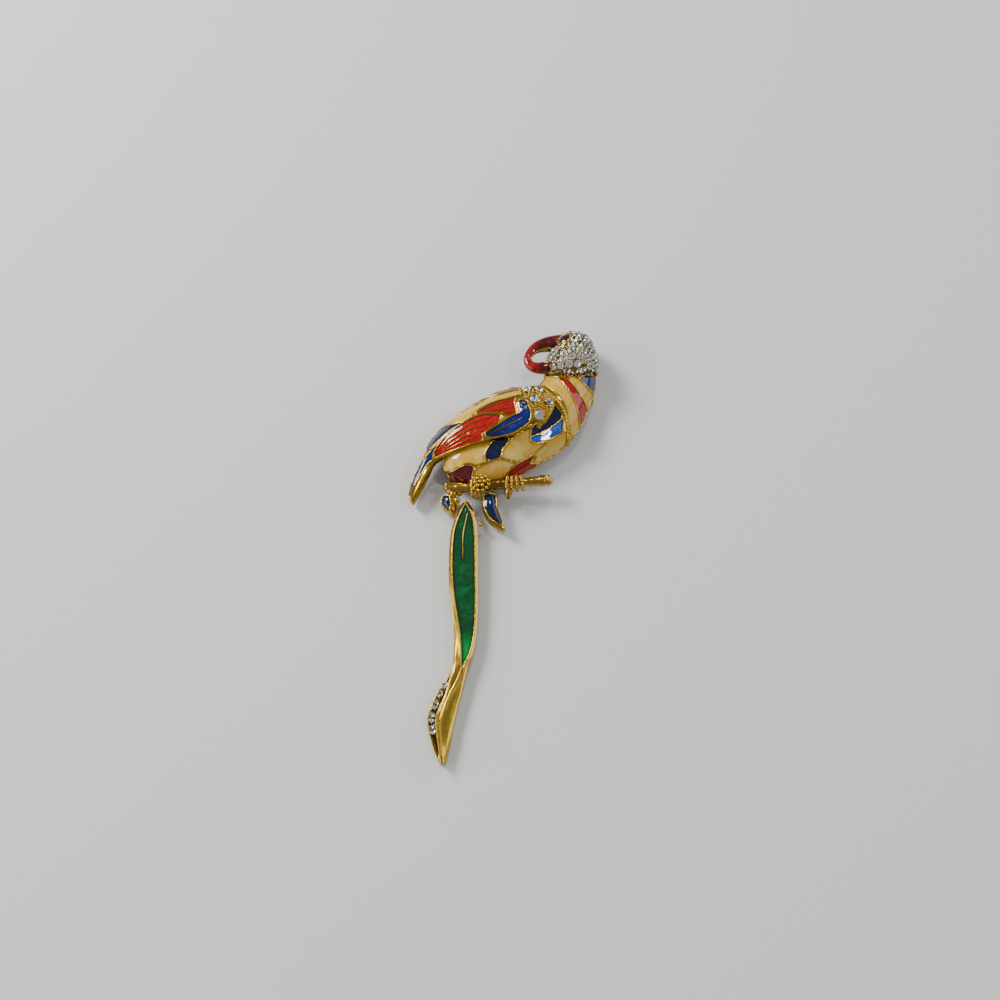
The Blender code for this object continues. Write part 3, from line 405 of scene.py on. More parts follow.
class Finish(Enum):
    """The finishes that the brooch wears."""

    # Cast, polished and plated with yellow gold: hard glints on wires, rims and beads, and painted
    # brown shade where the gold lies deep in a hollow.
    GOLD = GoldPlate("Gold plated casting", "#C09C3C", "#3E2C0C", 0.17)
    # Plating rubbed thinner by wear: a warmer, redder gold with softer glints.
    DARK_GOLD = GoldPlate("Gold plate with a coppery tone", "#B0883C", "#4E3012", 0.2)
    # Drawn wire and plain blocks, plated but hardly polished: a broad dull sheen.
    PIN_GOLD = GoldPlate("Satin gold plated pin wire", "#C49A48", "#6E4A17", 0.32)
    # Opaque powder fired over the plain metal: honey cream with pale clouds that are partly painted
    # reflections, browner at the wires.
    CREAM = Enamel(
        "Opaque cream enamel", "#C89C30", "#966A18", "#B88822", "#DCCA84", 0.6, 4.5,
        ground_roughness=0.5, grain_mm=0.9, grain_depth=0.05, cloud_mm=4.0, wall_reach_mm=0.5,
        coat_roughness=0.07,
    )
    # Clear red fired over engraved metal: a deep red that glitters where the ground shows, with
    # salmon flecks that are partly painted highlights.
    RED = Enamel(
        "See-through red enamel", "#900407", "#380306", "#64060A", "#CC3028", 0.42, 0.7,
        metal=0.25, ground_roughness=0.34, grain_mm=0.45, grain_depth=0.6, cloud_mm=2.2,
        wall_reach_mm=0.5,
    )
    # Clear brown-red fired thickly over engraved metal: dark wine with rosy flecks.
    MAROON = Enamel(
        "See-through maroon enamel", "#560810", "#26030A", "#480810", "#903040", 0.45, 1.2,
        metal=0.25, ground_roughness=0.34, grain_depth=0.4,
    )
    # Dense blue fired thickly: almost black, with blue flecks that are partly painted highlights.
    NAVY = Enamel(
        "Deep navy enamel", "#081038", "#030414", "#060A26", "#24366E", 0.45, 1.8,
        metal=0.2, ground_roughness=0.34, grain_mm=0.6, grain_depth=0.3, wall_reach_mm=0.8,
    )
    # Clear light blue fired thinly over engraved metal: the brightest cell, with a silvery blue.
    BLUE = Enamel(
        "See-through bright blue enamel", "#1448A8", "#081848", "#0E2868", "#4E84DC", 0.6, 1.4,
        metal=0.25, ground_roughness=0.3, grain_mm=0.6, grain_depth=0.35,
    )
    # Clear blue fired over engraved metal and shaded at its root: ink blue with royal lights.
    ROYAL = Enamel(
        "See-through royal blue enamel", "#08125C", "#040720", "#030518", "#2A44A4", 0.45, 1.6,
        metal=0.22, ground_roughness=0.32, grain_mm=0.6, grain_depth=0.3, cloud_mm=2.5,
        root_from=0.6, root_to=0.95,
    )
    # Clear green run into a deep hollow and thin at its lower end: bottle green, then leaf green.
    GREEN = Enamel(
        "See-through emerald enamel", "#02401E", "#011E0E", "#089034", "#0A7A36", 0.5, 3.2,
        metal=0.25, ground_roughness=0.3, grain_mm=1.1, grain_depth=0.5, cloud_mm=3.5,
        wall_reach_mm=0.9, root_from=0.74, root_to=0.86,
    )
    # Clear red fired round a bent bar: a long wet highlight over deep red.
    BEAK = Enamel(
        "See-through red enamel on the beak", "#84080E", "#380408", "#44040A", "#C03030", 0.4, 1.2,
        metal=0.25, ground_roughness=0.28, grain_mm=0.8, grain_depth=0.2,
        root_from=0.35, root_to=0.85,
    )
    # Pressed glass, domed and polished by fire: nearly black with one round highlight.
    EYE = Enamel(
        "Dark red-brown glass cabochon", "#2C0604", "#0E0202", "#200404", "#501410", 0.4, 1.2,
        metal=0.1, grain_mm=0.8, grain_depth=0.1,
    )
    # Moulded and machine cut: hard flashes that change from facet to facet.
    GLASS = CutGlass()
    # Silvered by firing: light comes back through the cut instead of being lost in the setting.
    FOIL = Foil()


class Wardrobe:
    """Makes each finish's material once and puts it on pieces."""

    def __init__(self) -> None:
        """Start with nothing made."""
        self.made: dict[Finish, bpy.types.Material] = {}

    def dress(self, piece: Piece, *finishes: Finish) -> None:
        """Give a piece these finishes, in the order of its material indices.

        Args:
            piece: The piece.
            finishes: Its finishes, in the order of its material indices.
        """
        piece.data.materials.clear()
        for finish in finishes:
            if finish not in self.made:
                self.made[finish] = finish.value.material()
            piece.data.materials.append(self.made[finish])


WARDROBE = Wardrobe()


def deselect_all() -> None:
    """Leave object mode with nothing selected."""
    if bpy.context.object and bpy.context.object.mode != "OBJECT":
        bpy.ops.object.mode_set(mode="OBJECT")
    bpy.ops.object.select_all(action="DESELECT")


def pick(piece: Piece) -> None:
    """Select one piece and make it the active one.

    Args:
        piece: The piece.
    """
    deselect_all()
    piece.select_set(True)
    bpy.context.view_layer.objects.active = piece


def mesh_piece(name: str, verts: np.ndarray, faces: Sequence[Sequence[int]]) -> Piece:
    """Make a piece from vertices and faces that a loft or a copy has worked out.

    Args:
        name: The piece's name.
        verts: A row of x, y and z for each vertex.
        faces: Each face's vertex numbers.

    Returns:
        The piece.
    """
    mesh = bpy.data.meshes.new(name)
    mesh.from_pydata([tuple(corner) for corner in verts], [], [tuple(face) for face in faces])
    mesh.update()
    piece = bpy.data.objects.new(name, mesh)
    bpy.context.scene.collection.objects.link(piece)
    return piece


def set_corners(piece: Piece, corners: np.ndarray) -> None:
    """Move a piece's vertices to these points."""
    piece.data.vertices.foreach_set("co", corners.astype(np.float32).ravel())
    piece.data.update()


def get_corners(piece: Piece) -> np.ndarray:
    """Read a piece's vertices as rows of x, y and z.

    Args:
        piece: The piece.

    Returns:
        A row for each vertex.
    """
    corners = np.empty(len(piece.data.vertices) * 3, dtype=np.float32)
    piece.data.vertices.foreach_get("co", corners)
    return corners.reshape(-1, 3).astype(np.float64)


def set_attribute(piece: Piece, name: str, values: np.ndarray) -> None:
    """Store one number per vertex for the material to read."""
    layer = piece.data.attributes.new(name, "FLOAT", "POINT")
    layer.data.foreach_set("value", values.astype(np.float32))


def smooth_piece(piece: Piece, degrees: float = 40.0) -> None:
    """Shade a piece smoothly, but for edges sharper than an angle."""
    pick(piece)
    bpy.ops.object.shade_smooth_by_angle(angle=math.radians(degrees))


def finish_piece(piece: Piece, slot: str, nodes: Sequence[str], *finishes: Finish) -> None:
    """Dress a piece, let it ride on the brooch and hide the solids that it stands for.

    Args:
        piece: The finished piece.
        slot: The material slot's name, which is not used.
        nodes: The solids that it replaces.
        finishes: Its finishes.
    """
    WARDROBE.dress(piece, *finishes)
    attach(piece, "root")
    if nodes:
        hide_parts(*nodes)
    LOG.info("%s: %d faces", piece.name, len(piece.data.polygons))


def finish_gold(piece: Piece, *nodes: str) -> None:
    """Finish a piece as plain gold that stands for these solids, or is new detail for none."""
    finish_piece(piece, "gold_tone_metal", nodes, Finish.GOLD)


def smooth_values(columns: np.ndarray, place: np.ndarray, closed: bool = False) -> np.ndarray:
    """Read a table on a smooth curve through its rows.

    Args:
        columns: The table, a row for each entry.
        place: Fractional row numbers.
        closed: Whether the last row runs on into the first.

    Returns:
        A row of values for each place.
    """
    count = len(columns)
    if closed:
        low = np.floor(place).astype(int)
        index = [(low + step) % count for step in (-1, 0, 1, 2)]
    else:
        place = np.clip(place, 0.0, count - 1.0)
        low = np.minimum(place.astype(int), count - 2)
        index = [np.clip(low + step, 0, count - 1) for step in (-1, 0, 1, 2)]
    before, start, end, after = (columns[step] for step in index)
    part = (place - low)[:, None]
    return 0.5 * (
        2 * start
        + (end - before) * part
        + (2 * before - 5 * start + 4 * end - after) * part**2
        + (3 * start - before - 3 * end + after) * part**3
    )


def step_up(value: np.ndarray, low: float, high: float) -> np.ndarray:
    """Rise smoothly from zero at low to one at high."""
    share = np.clip((value - low) / (high - low), 0.0, 1.0)
    return share * share * (3 - 2 * share)


@dataclass(frozen=True)
class Plan:
    """A place below the brooch with a heading, and the sizes that shares refer to."""

    x: float
    y: float
    heading: float
    length: float
    width: float

    def at(self, along: float, across: float, height: float = 0.0) -> Vector:
        """The point at these shares of the length and width, at this height.

        Args:
            along: The share of the length.
            across: The share of the width, to the left.
            height: The height above the surface below.

        Returns:
            The point.
        """
        turn = math.radians(self.heading)
        forward = Vector((math.cos(turn), math.sin(turn), 0.0)) * (along * self.length)
        left = Vector((-math.sin(turn), math.cos(turn), 0.0)) * (across * self.width)
        return Vector((self.x, self.y, height)) + forward + left


@dataclass
class Spots:
    """Points on a form: where each is, in rows and sides and in space, and its normal."""

    rows: np.ndarray
    sides: np.ndarray
    points: np.ndarray
    normals: np.ndarray

    def raised(self, height: np.ndarray | float) -> np.ndarray:
        """The points moved out along their normals."""
        return self.points + self.normals * np.broadcast_to(height, self.rows.shape)[:, None]


Measure = Callable[[Spots], np.ndarray]


@dataclass(frozen=True)
class Form:
    """A curved surface over two edges, laid over sections.

    Each section gives the front edge along and across, the back edge along and across, the
    crest between them, the rise, the lift of each edge and the bulge of the crest.
    """

    plan: Plan
    sections: tuple[tuple[float, ...], ...]
    rim: float
    rise: float
    front_turn: float = 0.0
    back_turn: float = 0.0
    normal_step: float = 0.02

    @property
    def last_row(self) -> int:
        """The number of the last row."""
        return len(self.sections) - 1

    def table(self) -> np.ndarray:
        """The sections as an array of nine columns."""
        full = [list(section) + [0.0] * (9 - len(section)) for section in self.sections]
        return np.array(full)

    def points(self, rows: np.ndarray, sides: np.ndarray, inset: float = 0.0) -> np.ndarray:
        """Points of the surface, or of the one that lies inset inside it.

        Args:
            rows: The row of each point.
            sides: The side of each point.
            inset: How far inside the form the surface lies.

        Returns:
            A row of x, y and z for each point.
        """
        values = smooth_values(self.table(), rows)
        turn = math.radians(self.plan.heading)
        forward = np.array([math.cos(turn), math.sin(turn)])
        left = np.array([-math.sin(turn), math.cos(turn)])
        start = np.array([self.plan.x, self.plan.y])
        front = start + np.outer(values[:, 0] * self.plan.length, forward)
        front += np.outer(values[:, 1] * self.plan.width, left)
        back = start + np.outer(values[:, 2] * self.plan.length, forward)
        back += np.outer(values[:, 3] * self.plan.width, left)
        chord = back - front
        chord /= np.maximum(np.linalg.norm(chord, axis=1), 1e-9)[:, None]
        front, back = front + chord * inset, back - chord * inset
        middle = front + (back - front) * values[:, 4:5]
        # Each cross-section is part of an ellipse, from the edge's own slope up to the crest.
        in_front = sides < 0
        edge = np.where(in_front[:, None], front, back)
        lift = np.where(in_front, values[:, 6], values[:, 7])
        low = np.radians(np.where(in_front, self.front_turn, self.back_turn))
        angle = low + (math.pi / 2 - low) * (1 - np.abs(sides))
        spread = np.cos(angle) / np.cos(low)
        height = (np.sin(angle) - np.sin(low)) / (1 - np.sin(low))
        crest = np.maximum(values[:, 5] * self.rise - inset, 0.0)
        plan = middle + (edge - middle) * spread[:, None]
        plan += np.outer(values[:, 8] * height * self.plan.length, forward)
        upright = self.rim + lift * self.rise + (crest - lift * self.rise) * height
        return np.column_stack([plan, upright])

    def spots(self, rows: np.ndarray, sides: np.ndarray) -> Spots:
        """The points and normals at these rows and sides.

        Args:
            rows: The row of each spot.
            sides: The side of each spot.

        Returns:
            The spots, with normals that point up and out.
        """
        rows = np.asarray(rows, dtype=float)
        sides = np.asarray(sides, dtype=float)
        step = self.normal_step
        row_low, row_high = np.maximum(rows - step, 0), np.minimum(rows + step, self.last_row)
        side_low, side_high = np.maximum(sides - step, -1), np.minimum(sides + step, 1)
        along = self.points(row_high, sides) - self.points(row_low, sides)
        across = self.points(rows, side_high) - self.points(rows, side_low)
        normals = np.cross(along, across)
        normals /= np.maximum(np.linalg.norm(normals, axis=1), 1e-12)[:, None]
        normals[normals[:, 2] < 0] *= -1
        return Spots(rows, sides, self.points(rows, sides), normals)

    def spot(self, row: float, side: float) -> Spots:
        """The one spot at this row and side."""
        return self.spots(np.array([row]), np.array([side]))

    def inner(self, spots: Spots, wall: float) -> np.ndarray:
        """The inside of a hollow casting, which ends where the form is lower than its wall.

        Args:
            spots: Spots on the form.
            wall: The thickness of the casting.

        Returns:
            For each spot the point inside it.
        """
        shares = np.linspace(0, self.last_row, 401)
        high = shares[smooth_values(self.table(), shares)[:, 5] * self.rise >= wall]
        share = spots.rows / self.last_row
        return self.points(high[0] + (high[-1] - high[0]) * share, spots.sides, wall)

    def line(self, places: Sequence[Place], steps: int = 6, closed: bool = False) -> Spots:
        """Spots on a smooth line through these places.

        Args:
            places: Rows and sides that the line runs through.
            steps: Spots from each place to the next.
            closed: Whether it runs on from the last place to the first.

        Returns:
            The spots.
        """
        table = np.array(places, dtype=float)
        count = len(places) if closed else len(places) - 1
        place = np.arange(count * steps + (0 if closed else 1)) / steps
        smooth = smooth_values(table, place, closed)
        return self.spots(smooth[:, 0], np.clip(smooth[:, 1], -1, 1))


def distance_to_line(points: np.ndarray, line: np.ndarray, closed: bool) -> np.ndarray:
    """The distance in space from each point to a line through many points.

    Args:
        points: The points.
        line: The points of the line.
        closed: Whether the line closes on itself.

    Returns:
        A distance for each point.
    """
    ends = np.roll(line, -1, axis=0) if closed else line[1:]
    starts = line if closed else line[:-1]
    nearest = np.full(len(points), FAR)
    for start, end in zip(starts, ends):
        run = end - start
        share = np.clip((points - start) @ run / max(run @ run, 1e-18), 0, 1)
        away = np.linalg.norm(points - start - share[:, None] * run, axis=1)
        nearest = np.minimum(nearest, away)
    return nearest


def inside_outline(rows: np.ndarray, sides: np.ndarray, loop: np.ndarray) -> np.ndarray:
    """Which places lie inside a closed outline of rows and sides.

    Args:
        rows: The row of each place.
        sides: The side of each place.
        loop: Rows and sides of the outline.

    Returns:
        True for each place inside.
    """
    inside = np.zeros(len(rows), dtype=bool)
    for (row_a, side_a), (row_b, side_b) in zip(loop, np.roll(loop, -1, axis=0)):
        crossing = (side_a > sides) != (side_b > sides)
        if side_a != side_b:
            slant = (row_b - row_a) * (sides - side_a) / (side_b - side_a)
            inside ^= crossing & (rows < slant + row_a)
    return inside


@dataclass(frozen=True)
class Cell:
    """One enamelled recess with the gold veins that stand in it."""

    name: str
    nodes: tuple[str, ...]
    slot: str
    finish: Finish
    outline: Outline
    veins: tuple[Outline, ...] = ()
    vein_width: float = 0.20 * MM
    wire: float = 0.15 * MM
    dome: float = 0.0
    row_margin: float = 0.6
    side_margin: float = 0.3

    def reach(self, form: Form, spots: Spots) -> np.ndarray:
        """How far inside the cell's wall each spot lies, negative outside it.

        Args:
            form: The form that the cell lies on.
            spots: Spots on the form.

        Returns:
            A distance for each spot.
        """
        table = np.array(self.outline)
        near = (
            (spots.rows > table[:, 0].min() - self.row_margin)
            & (spots.rows < table[:, 0].max() + self.row_margin)
            & (spots.sides > table[:, 1].min() - self.side_margin)
            & (spots.sides < table[:, 1].max() + self.side_margin)
        )
        reach = np.full(len(spots.rows), -FAR)
        if not near.any():
            return reach
        line = form.line(self.outline, closed=True)
        away = distance_to_line(spots.points[near], line.points, True)
        loop = np.column_stack([line.rows, line.sides])
        inside = inside_outline(spots.rows[near], spots.sides[near], loop)
        reach[near] = np.where(inside, away, -away)
        return reach

    def from_veins(self, form: Form, spots: Spots) -> np.ndarray:
        """How far each spot lies from the nearest vein's side.

        Args:
            form: The form that the cell lies on.
            spots: Spots on the form.

        Returns:
            A distance for each spot.
        """
        away = np.full(len(spots.rows), FAR)
        for vein in self.veins:
            line = form.line(vein)
            away = np.minimum(away, distance_to_line(spots.points, line.points, False))
        return away - self.vein_width / 2


def flat_grid(name: str, rows: int, sides: int) -> Piece:
    """Add a square grid two units wide to lay over a form.

    Args:
        name: The grid's name.
        rows: Its faces along.
        sides: Its faces across.

    Returns:
        The grid.
    """
    deselect_all()
    bpy.ops.mesh.primitive_grid_add(x_subdivisions=rows, y_subdivisions=sides, size=2.0)
    grid = bpy.context.object
    grid.name = name
    grid.data.name = name
    return grid


def grid_spots(grid: Piece, form: Form, row_span: Place, side_span: Place = (-1.0, 1.0)) -> Spots:
    """The spots that the corners of a flat grid land on.

    Args:
        grid: The flat grid.
        form: The form that it is laid over.
        row_span: The rows of its two ends.
        side_span: The sides of its two edges.

    Returns:
        A spot for each of the grid's corners.
    """
    corners = get_corners(grid)
    rows = row_span[0] + (row_span[1] - row_span[0]) * (corners[:, 0] + 1) / 2
    sides = side_span[0] + (side_span[1] - side_span[0]) * (corners[:, 1] + 1) / 2
    return form.spots(rows, sides)


def apply_all(piece: Piece) -> None:
    """Apply every modifier of a piece in order.

    Args:
        piece: The piece.
    """
    pick(piece)
    for modifier in list(piece.modifiers):
        bpy.ops.object.modifier_apply(modifier=modifier.name)


def face_outwards(piece: Piece) -> None:
    """Turn every face of a closed piece outwards.

    Args:
        piece: The piece.
    """
    pick(piece)
    bpy.ops.object.mode_set(mode="EDIT")
    bpy.ops.mesh.select_all(action="SELECT")
    bpy.ops.mesh.normals_make_consistent(inside=False)
    bpy.ops.object.mode_set(mode="OBJECT")


def close_back(sheet: Piece, back: np.ndarray) -> None:
    """Turn a sheet into a closed piece.

    Args:
        sheet: The sheet, which is the face of the piece.
        back: For each of its vertices the point of the back behind it.
    """
    count = len(sheet.data.vertices)
    wall = sheet.modifiers.new("wall", "SOLIDIFY")
    wall.thickness = 0.5 * MM
    wall.offset = -1.0
    apply_all(sheet)
    corners = get_corners(sheet)
    corners[count:] = back
    set_corners(sheet, corners)
    face_outwards(sheet)


def closed_skin(
    name: str, form: Form, counts: tuple[int, int], height: Measure, under: Measure,
    hollow: Measure, first_row: float = 0.0,
) -> Piece:
    """Model a closed casting: a fine worked face over a plain back.

    Args:
        name: The piece's name.
        form: The form it is laid over.
        counts: Its faces along and across.
        height: How far the face stands out at each spot.
        under: The points of the back at each spot.
        hollow: How much painted shade each spot gets as it lies in a hollow, from zero to one.
        first_row: The row that it starts at.

    Returns:
        The casting.
    """
    piece = flat_grid(name, *counts)
    spots = grid_spots(piece, form, (first_row, form.last_row))
    set_corners(piece, spots.raised(height(spots)))
    set_attribute(piece, "hollow", hollow(spots))
    close_back(piece, under(spots))
    smooth_piece(piece)
    return piece


def ball(name: str) -> Piece:
    """Add one round bead with a radius of one.

    Args:
        name: The bead's name.

    Returns:
        The bead.
    """
    deselect_all()
    bpy.ops.mesh.primitive_ico_sphere_add(subdivisions=2, radius=1.0, location=(0.0, 0.0, 0.0))
    bead = bpy.context.object
    bead.name = name
    return bead


def joined(name: str, pieces: Sequence[Piece]) -> Piece:
    """Join pieces into one mesh.

    Args:
        name: The mesh's name.
        pieces: The pieces.

    Returns:
        The joined piece.
    """
    deselect_all()
    for piece in pieces:
        piece.select_set(True)
    bpy.context.view_layer.objects.active = pieces[0]
    if len(pieces) > 1:
        bpy.ops.object.join()
    made = bpy.context.object
    made.name = name
    made.data.name = name
    return made


def beads(name: str, centres: Sequence[Vector], radii: Sequence[float]) -> Piece:
    """Model one bead, copy its mesh to every place and keep the copies as one piece.

    Args:
        name: The piece's name.
        centres: The beads' centres.
        radii: The beads' radii.

    Returns:
        The beads as one piece.
    """
    master = ball(name)
    corners = get_corners(master)
    faces = [tuple(face.vertices) for face in master.data.polygons]
    bpy.data.objects.remove(master)
    verts = np.concatenate(
        [corners * radius + np.array(centre) for centre, radius in zip(centres, radii)]
    )
    count = len(corners)
    all_faces = [
        tuple(corner + copy * count for corner in face)
        for copy in range(len(centres))
        for face in faces
    ]
    piece = mesh_piece(name, verts, all_faces)
    smooth_piece(piece, 80.0)
    return piece


def swept(
    name: str, centres: Sequence[Vector], radii: Sequence[float], around: int = 16,
    flatten: float = 1.0,
) -> Piece:
    """Sweep a round section along a line, with domed ends.

    Args:
        name: The piece's name.
        centres: The line.
        radii: The radius at each point of the line.
        around: Faces around the section.
        flatten: Height of the section as a share of its width.

    Returns:
        The closed bar.
    """
    line = np.array([tuple(centre) for centre in centres])
    sizes = np.array(radii)
    run = np.gradient(line, axis=0)
    run /= np.linalg.norm(run, axis=1)[:, None]
    up = np.array([0.0, 0.0, 1.0])
    aside = np.cross(run, up)
    aside /= np.maximum(np.linalg.norm(aside, axis=1), 1e-9)[:, None]
    over = np.cross(aside, run)
    caps = [(-0.95, 0.31), (-0.7, 0.71), (-0.35, 0.94)]
    rings = [(line[0] + run[0] * sizes[0] * back, sizes[0] * size, 0) for back, size in caps]
    rings += [(line[index], sizes[index], index) for index in range(len(line))]
    rings += [
        (line[-1] - run[-1] * sizes[-1] * back, sizes[-1] * size, -1) for back, size in caps[::-1]
    ]
    turn = np.arange(around) * 2 * math.pi / around
    verts = [
        centre + size * (np.cos(angle) * aside[index] + flatten * np.sin(angle) * over[index])
        for centre, size, index in rings
        for angle in turn
    ]
    faces = []
    for ring in range(len(rings) - 1):
        for place in range(around):
            after = (place + 1) % around
            low, high = ring * around, (ring + 1) * around
            faces.append((low + place, low + after, high + after, high + place))
    tips = [line[0] - run[0] * sizes[0] * 0.99, line[-1] + run[-1] * sizes[-1] * 0.99]
    first, last = len(verts), len(verts) + 1
    top = (len(rings) - 1) * around
    for place in range(around):
        after = (place + 1) % around
        faces.append((first, after, place))
        faces.append((last, top + place, top + after))
    piece = mesh_piece(name, np.array(list(verts) + tips), faces)
    face_outwards(piece)
    smooth_piece(piece, 60.0)
    return piece


def evenly(points: np.ndarray, spacing: float) -> list[Vector]:
    """Places at an even spacing along a line.

    Args:
        points: Points of the line.
        spacing: The spacing, which is rounded to fit.

    Returns:
        The places.
    """
    lengths = np.concatenate([[0.0], np.cumsum(np.linalg.norm(np.diff(points, axis=0), axis=1))])
    count = max(int(round(lengths[-1] / spacing)), 1)
    wanted = np.linspace(0.0, lengths[-1], count + 1)
    return [
        Vector([float(np.interp(place, lengths, points[:, axis])) for axis in range(3)])
        for place in wanted
    ]


def evenly_closed(points: np.ndarray, spacing: float) -> np.ndarray:
    """Points at an even spacing along a closed line.

    Args:
        points: Points of the line.
        spacing: The spacing.

    Returns:
        The even points.
    """
    loop = np.vstack([points, points[:1]])
    places = evenly(loop, spacing)
    return np.array([tuple(place) for place in places[:-1]])


def swept_loop(name: str, centres: np.ndarray, radius: float, around: int = 8) -> Piece:
    """Sweep a round section along a closed line.

    Args:
        name: The piece's name.
        centres: The line, evenly spaced.
        radius: The radius of the section.
        around: Faces around the section.

    Returns:
        The closed ring.
    """
    run = np.roll(centres, -1, axis=0) - np.roll(centres, 1, axis=0)
    run /= np.linalg.norm(run, axis=1)[:, None]
    aside = np.cross(run, np.array([0.0, 0.0, 1.0]))
    aside /= np.maximum(np.linalg.norm(aside, axis=1), 1e-9)[:, None]
    over = np.cross(aside, run)
    turn = np.arange(around) * 2 * math.pi / around
    count = len(centres)
    # Wire that is laid by hand wavers a little in its thickness.
    waver = 1 + 0.10 * np.sin(np.arange(count) * 0.9) * np.sin(np.arange(count) * 0.31)
    verts = np.concatenate(
        [
            centres + (radius * waver)[:, None] * (np.cos(angle) * aside + np.sin(angle) * over)
            for angle in turn
        ]
    )
    faces = [
        (side * count + ring, side * count + (ring + 1) % count,
         ((side + 1) % around) * count + (ring + 1) % count, ((side + 1) % around) * count + ring)
        for side in range(around)
        for ring in range(count)
    ]
    piece = mesh_piece(name, verts, faces)
    face_outwards(piece)
    return piece


def smooth_line(points: Sequence[Sequence[float]], steps: int) -> np.ndarray:
    """Points on a smooth curve through these."""
    table = np.array(points, dtype=float)
    return smooth_values(table, np.arange((len(points) - 1) * steps + 1) / steps)


@dataclass
class EnamelledForm:
    """A gold face with enamel in its cells."""

    form: Form
    cells: tuple[Cell, ...]
    spacing: float = 0.15 * MM
    depth: float = 0.42 * MM
    slope: float = 0.2 * MM
    thread: float = 0.04 * MM
    thread_width: float = 0.26 * MM
    dip: float = 0.06 * MM
    glaze: float = 0.25 * MM
    dome_reach: float = 0.8 * MM
    creep: float = 0.05 * MM
    creep_reach: float = 0.3 * MM
    vein_shade: float = 0.22 * MM
    wire_lift: float = 0.02 * MM
    wire_spacing: float = 0.22 * MM
    vein_lift: float = 0.01 * MM
    vein_spacing: float = 0.25 * MM

    def height(self, spots: Spots) -> np.ndarray:
        """How far the gold stands out: down in the cells, proud along their walls.

        Args:
            spots: Spots on the form.

        Returns:
            A height for each spot.
        """
        reach = np.full(len(spots.rows), -FAR)
        for cell in self.cells:
            reach = np.maximum(reach, cell.reach(self.form, spots))
        proud = self.thread * np.exp(-((reach / self.thread_width) ** 2))
        recess = (self.depth + self.thread) * step_up(reach, 0.0, self.slope)
        return np.where(reach > 0, self.thread, proud) - recess

    def hollow(self, spots: Spots) -> np.ndarray:
        """Painted shade: darken the gold where it lies low."""
        return np.clip(-self.height(spots) / self.depth, 0, 1)

    def fill(self, cell: Cell) -> Piece:
        """Model one cell's enamel as a thin closed piece that swells between its walls.

        Args:
            cell: The cell.

        Returns:
            The enamel.
        """
        table = np.array(cell.outline)
        row_span = (
            max(table[:, 0].min() - 0.15, 0.0),
            min(table[:, 0].max() + 0.15, self.form.last_row),
        )
        side_span = (max(table[:, 1].min() - 0.08, -1.0), min(table[:, 1].max() + 0.08, 1.0))
        middle_row, middle_side = sum(row_span) / 2, sum(side_span) / 2
        length = self.form.line([(row, middle_side) for row in row_span], 20)
        width = self.form.line([(middle_row, side) for side in side_span], 20)
        counts = [
            max(int(np.linalg.norm(np.diff(run.points, axis=0), axis=1).sum() / self.spacing), 6)
            for run in (length, width)
        ]
        piece = flat_grid(cell.name, *counts)
        spots = grid_spots(piece, self.form, row_span, side_span)
        reach = cell.reach(self.form, spots)
        from_wall = reach.copy()
        if cell.veins:
            veins = cell.from_veins(self.form, spots) + self.vein_shade
            from_wall = np.minimum(from_wall, veins)
        # Enamel creeps a little up the wires and veins, and sags or swells between them.
        swell = cell.dome * (1 - np.exp(-np.maximum(reach, 0) / self.dome_reach)) - self.dip
        swell += self.creep * np.exp(-np.maximum(from_wall, 0) / self.creep_reach)
        set_corners(piece, spots.raised(swell))
        set_attribute(piece, "from_wall", np.maximum(from_wall, 0) / MM)
        set_attribute(piece, "along", (spots.rows - row_span[0]) / (row_span[1] - row_span[0]))
        keep = reach > -0.7 * cell.wire
        self.trim(piece, keep)
        close_back(piece, get_corners(piece) - spots.normals[keep] * self.glaze)
        smooth_piece(piece, 60.0)
        return piece

    def wires(self, name: str) -> None:
        """Lay the thin gold walls around the cells and the veins in them.

        Args:
            name: The piece's name.
        """
        bars = []
        for cell in self.cells:
            line = self.form.line(cell.outline, 8, closed=True)
            loop = evenly_closed(line.raised(self.wire_lift), self.wire_spacing)
            bars.append(swept_loop(f"{cell.name}_wire", loop, cell.wire))
            for vein in cell.veins:
                run = self.form.line(vein, 8)
                centres = evenly(run.raised(cell.dome + self.vein_lift), self.vein_spacing)
                count = len(centres) - 1
                radii = [
                    cell.vein_width / 2 * (0.45 + 0.55 * math.sin(math.pi * index / count))
                    for index in range(count + 1)
                ]
                bars.append(swept("vein", centres, radii, 8))
        walls = joined(name, bars)
        smooth_piece(walls, 60.0)
        finish_gold(walls)

    @staticmethod
    def trim(piece: Piece, keep: np.ndarray) -> None:
        """Delete the vertices of a sheet that lie outside its cell.

        Args:
            piece: The sheet.
            keep: Which vertices stay.
        """
        pick(piece)
        bpy.ops.object.mode_set(mode="EDIT")
        bpy.ops.mesh.select_all(action="DESELECT")
        bpy.ops.object.mode_set(mode="OBJECT")
        piece.data.vertices.foreach_set("select", ~keep)
        bpy.ops.object.mode_set(mode="EDIT")
        bpy.ops.mesh.select_mode(type="VERT")
        bpy.ops.mesh.delete(type="VERT")
        bpy.ops.object.mode_set(mode="OBJECT")

    def enamel(self) -> None:
        """Fill every cell."""
        for cell in self.cells:
            finish_piece(self.fill(cell), cell.slot, cell.nodes, cell.finish)


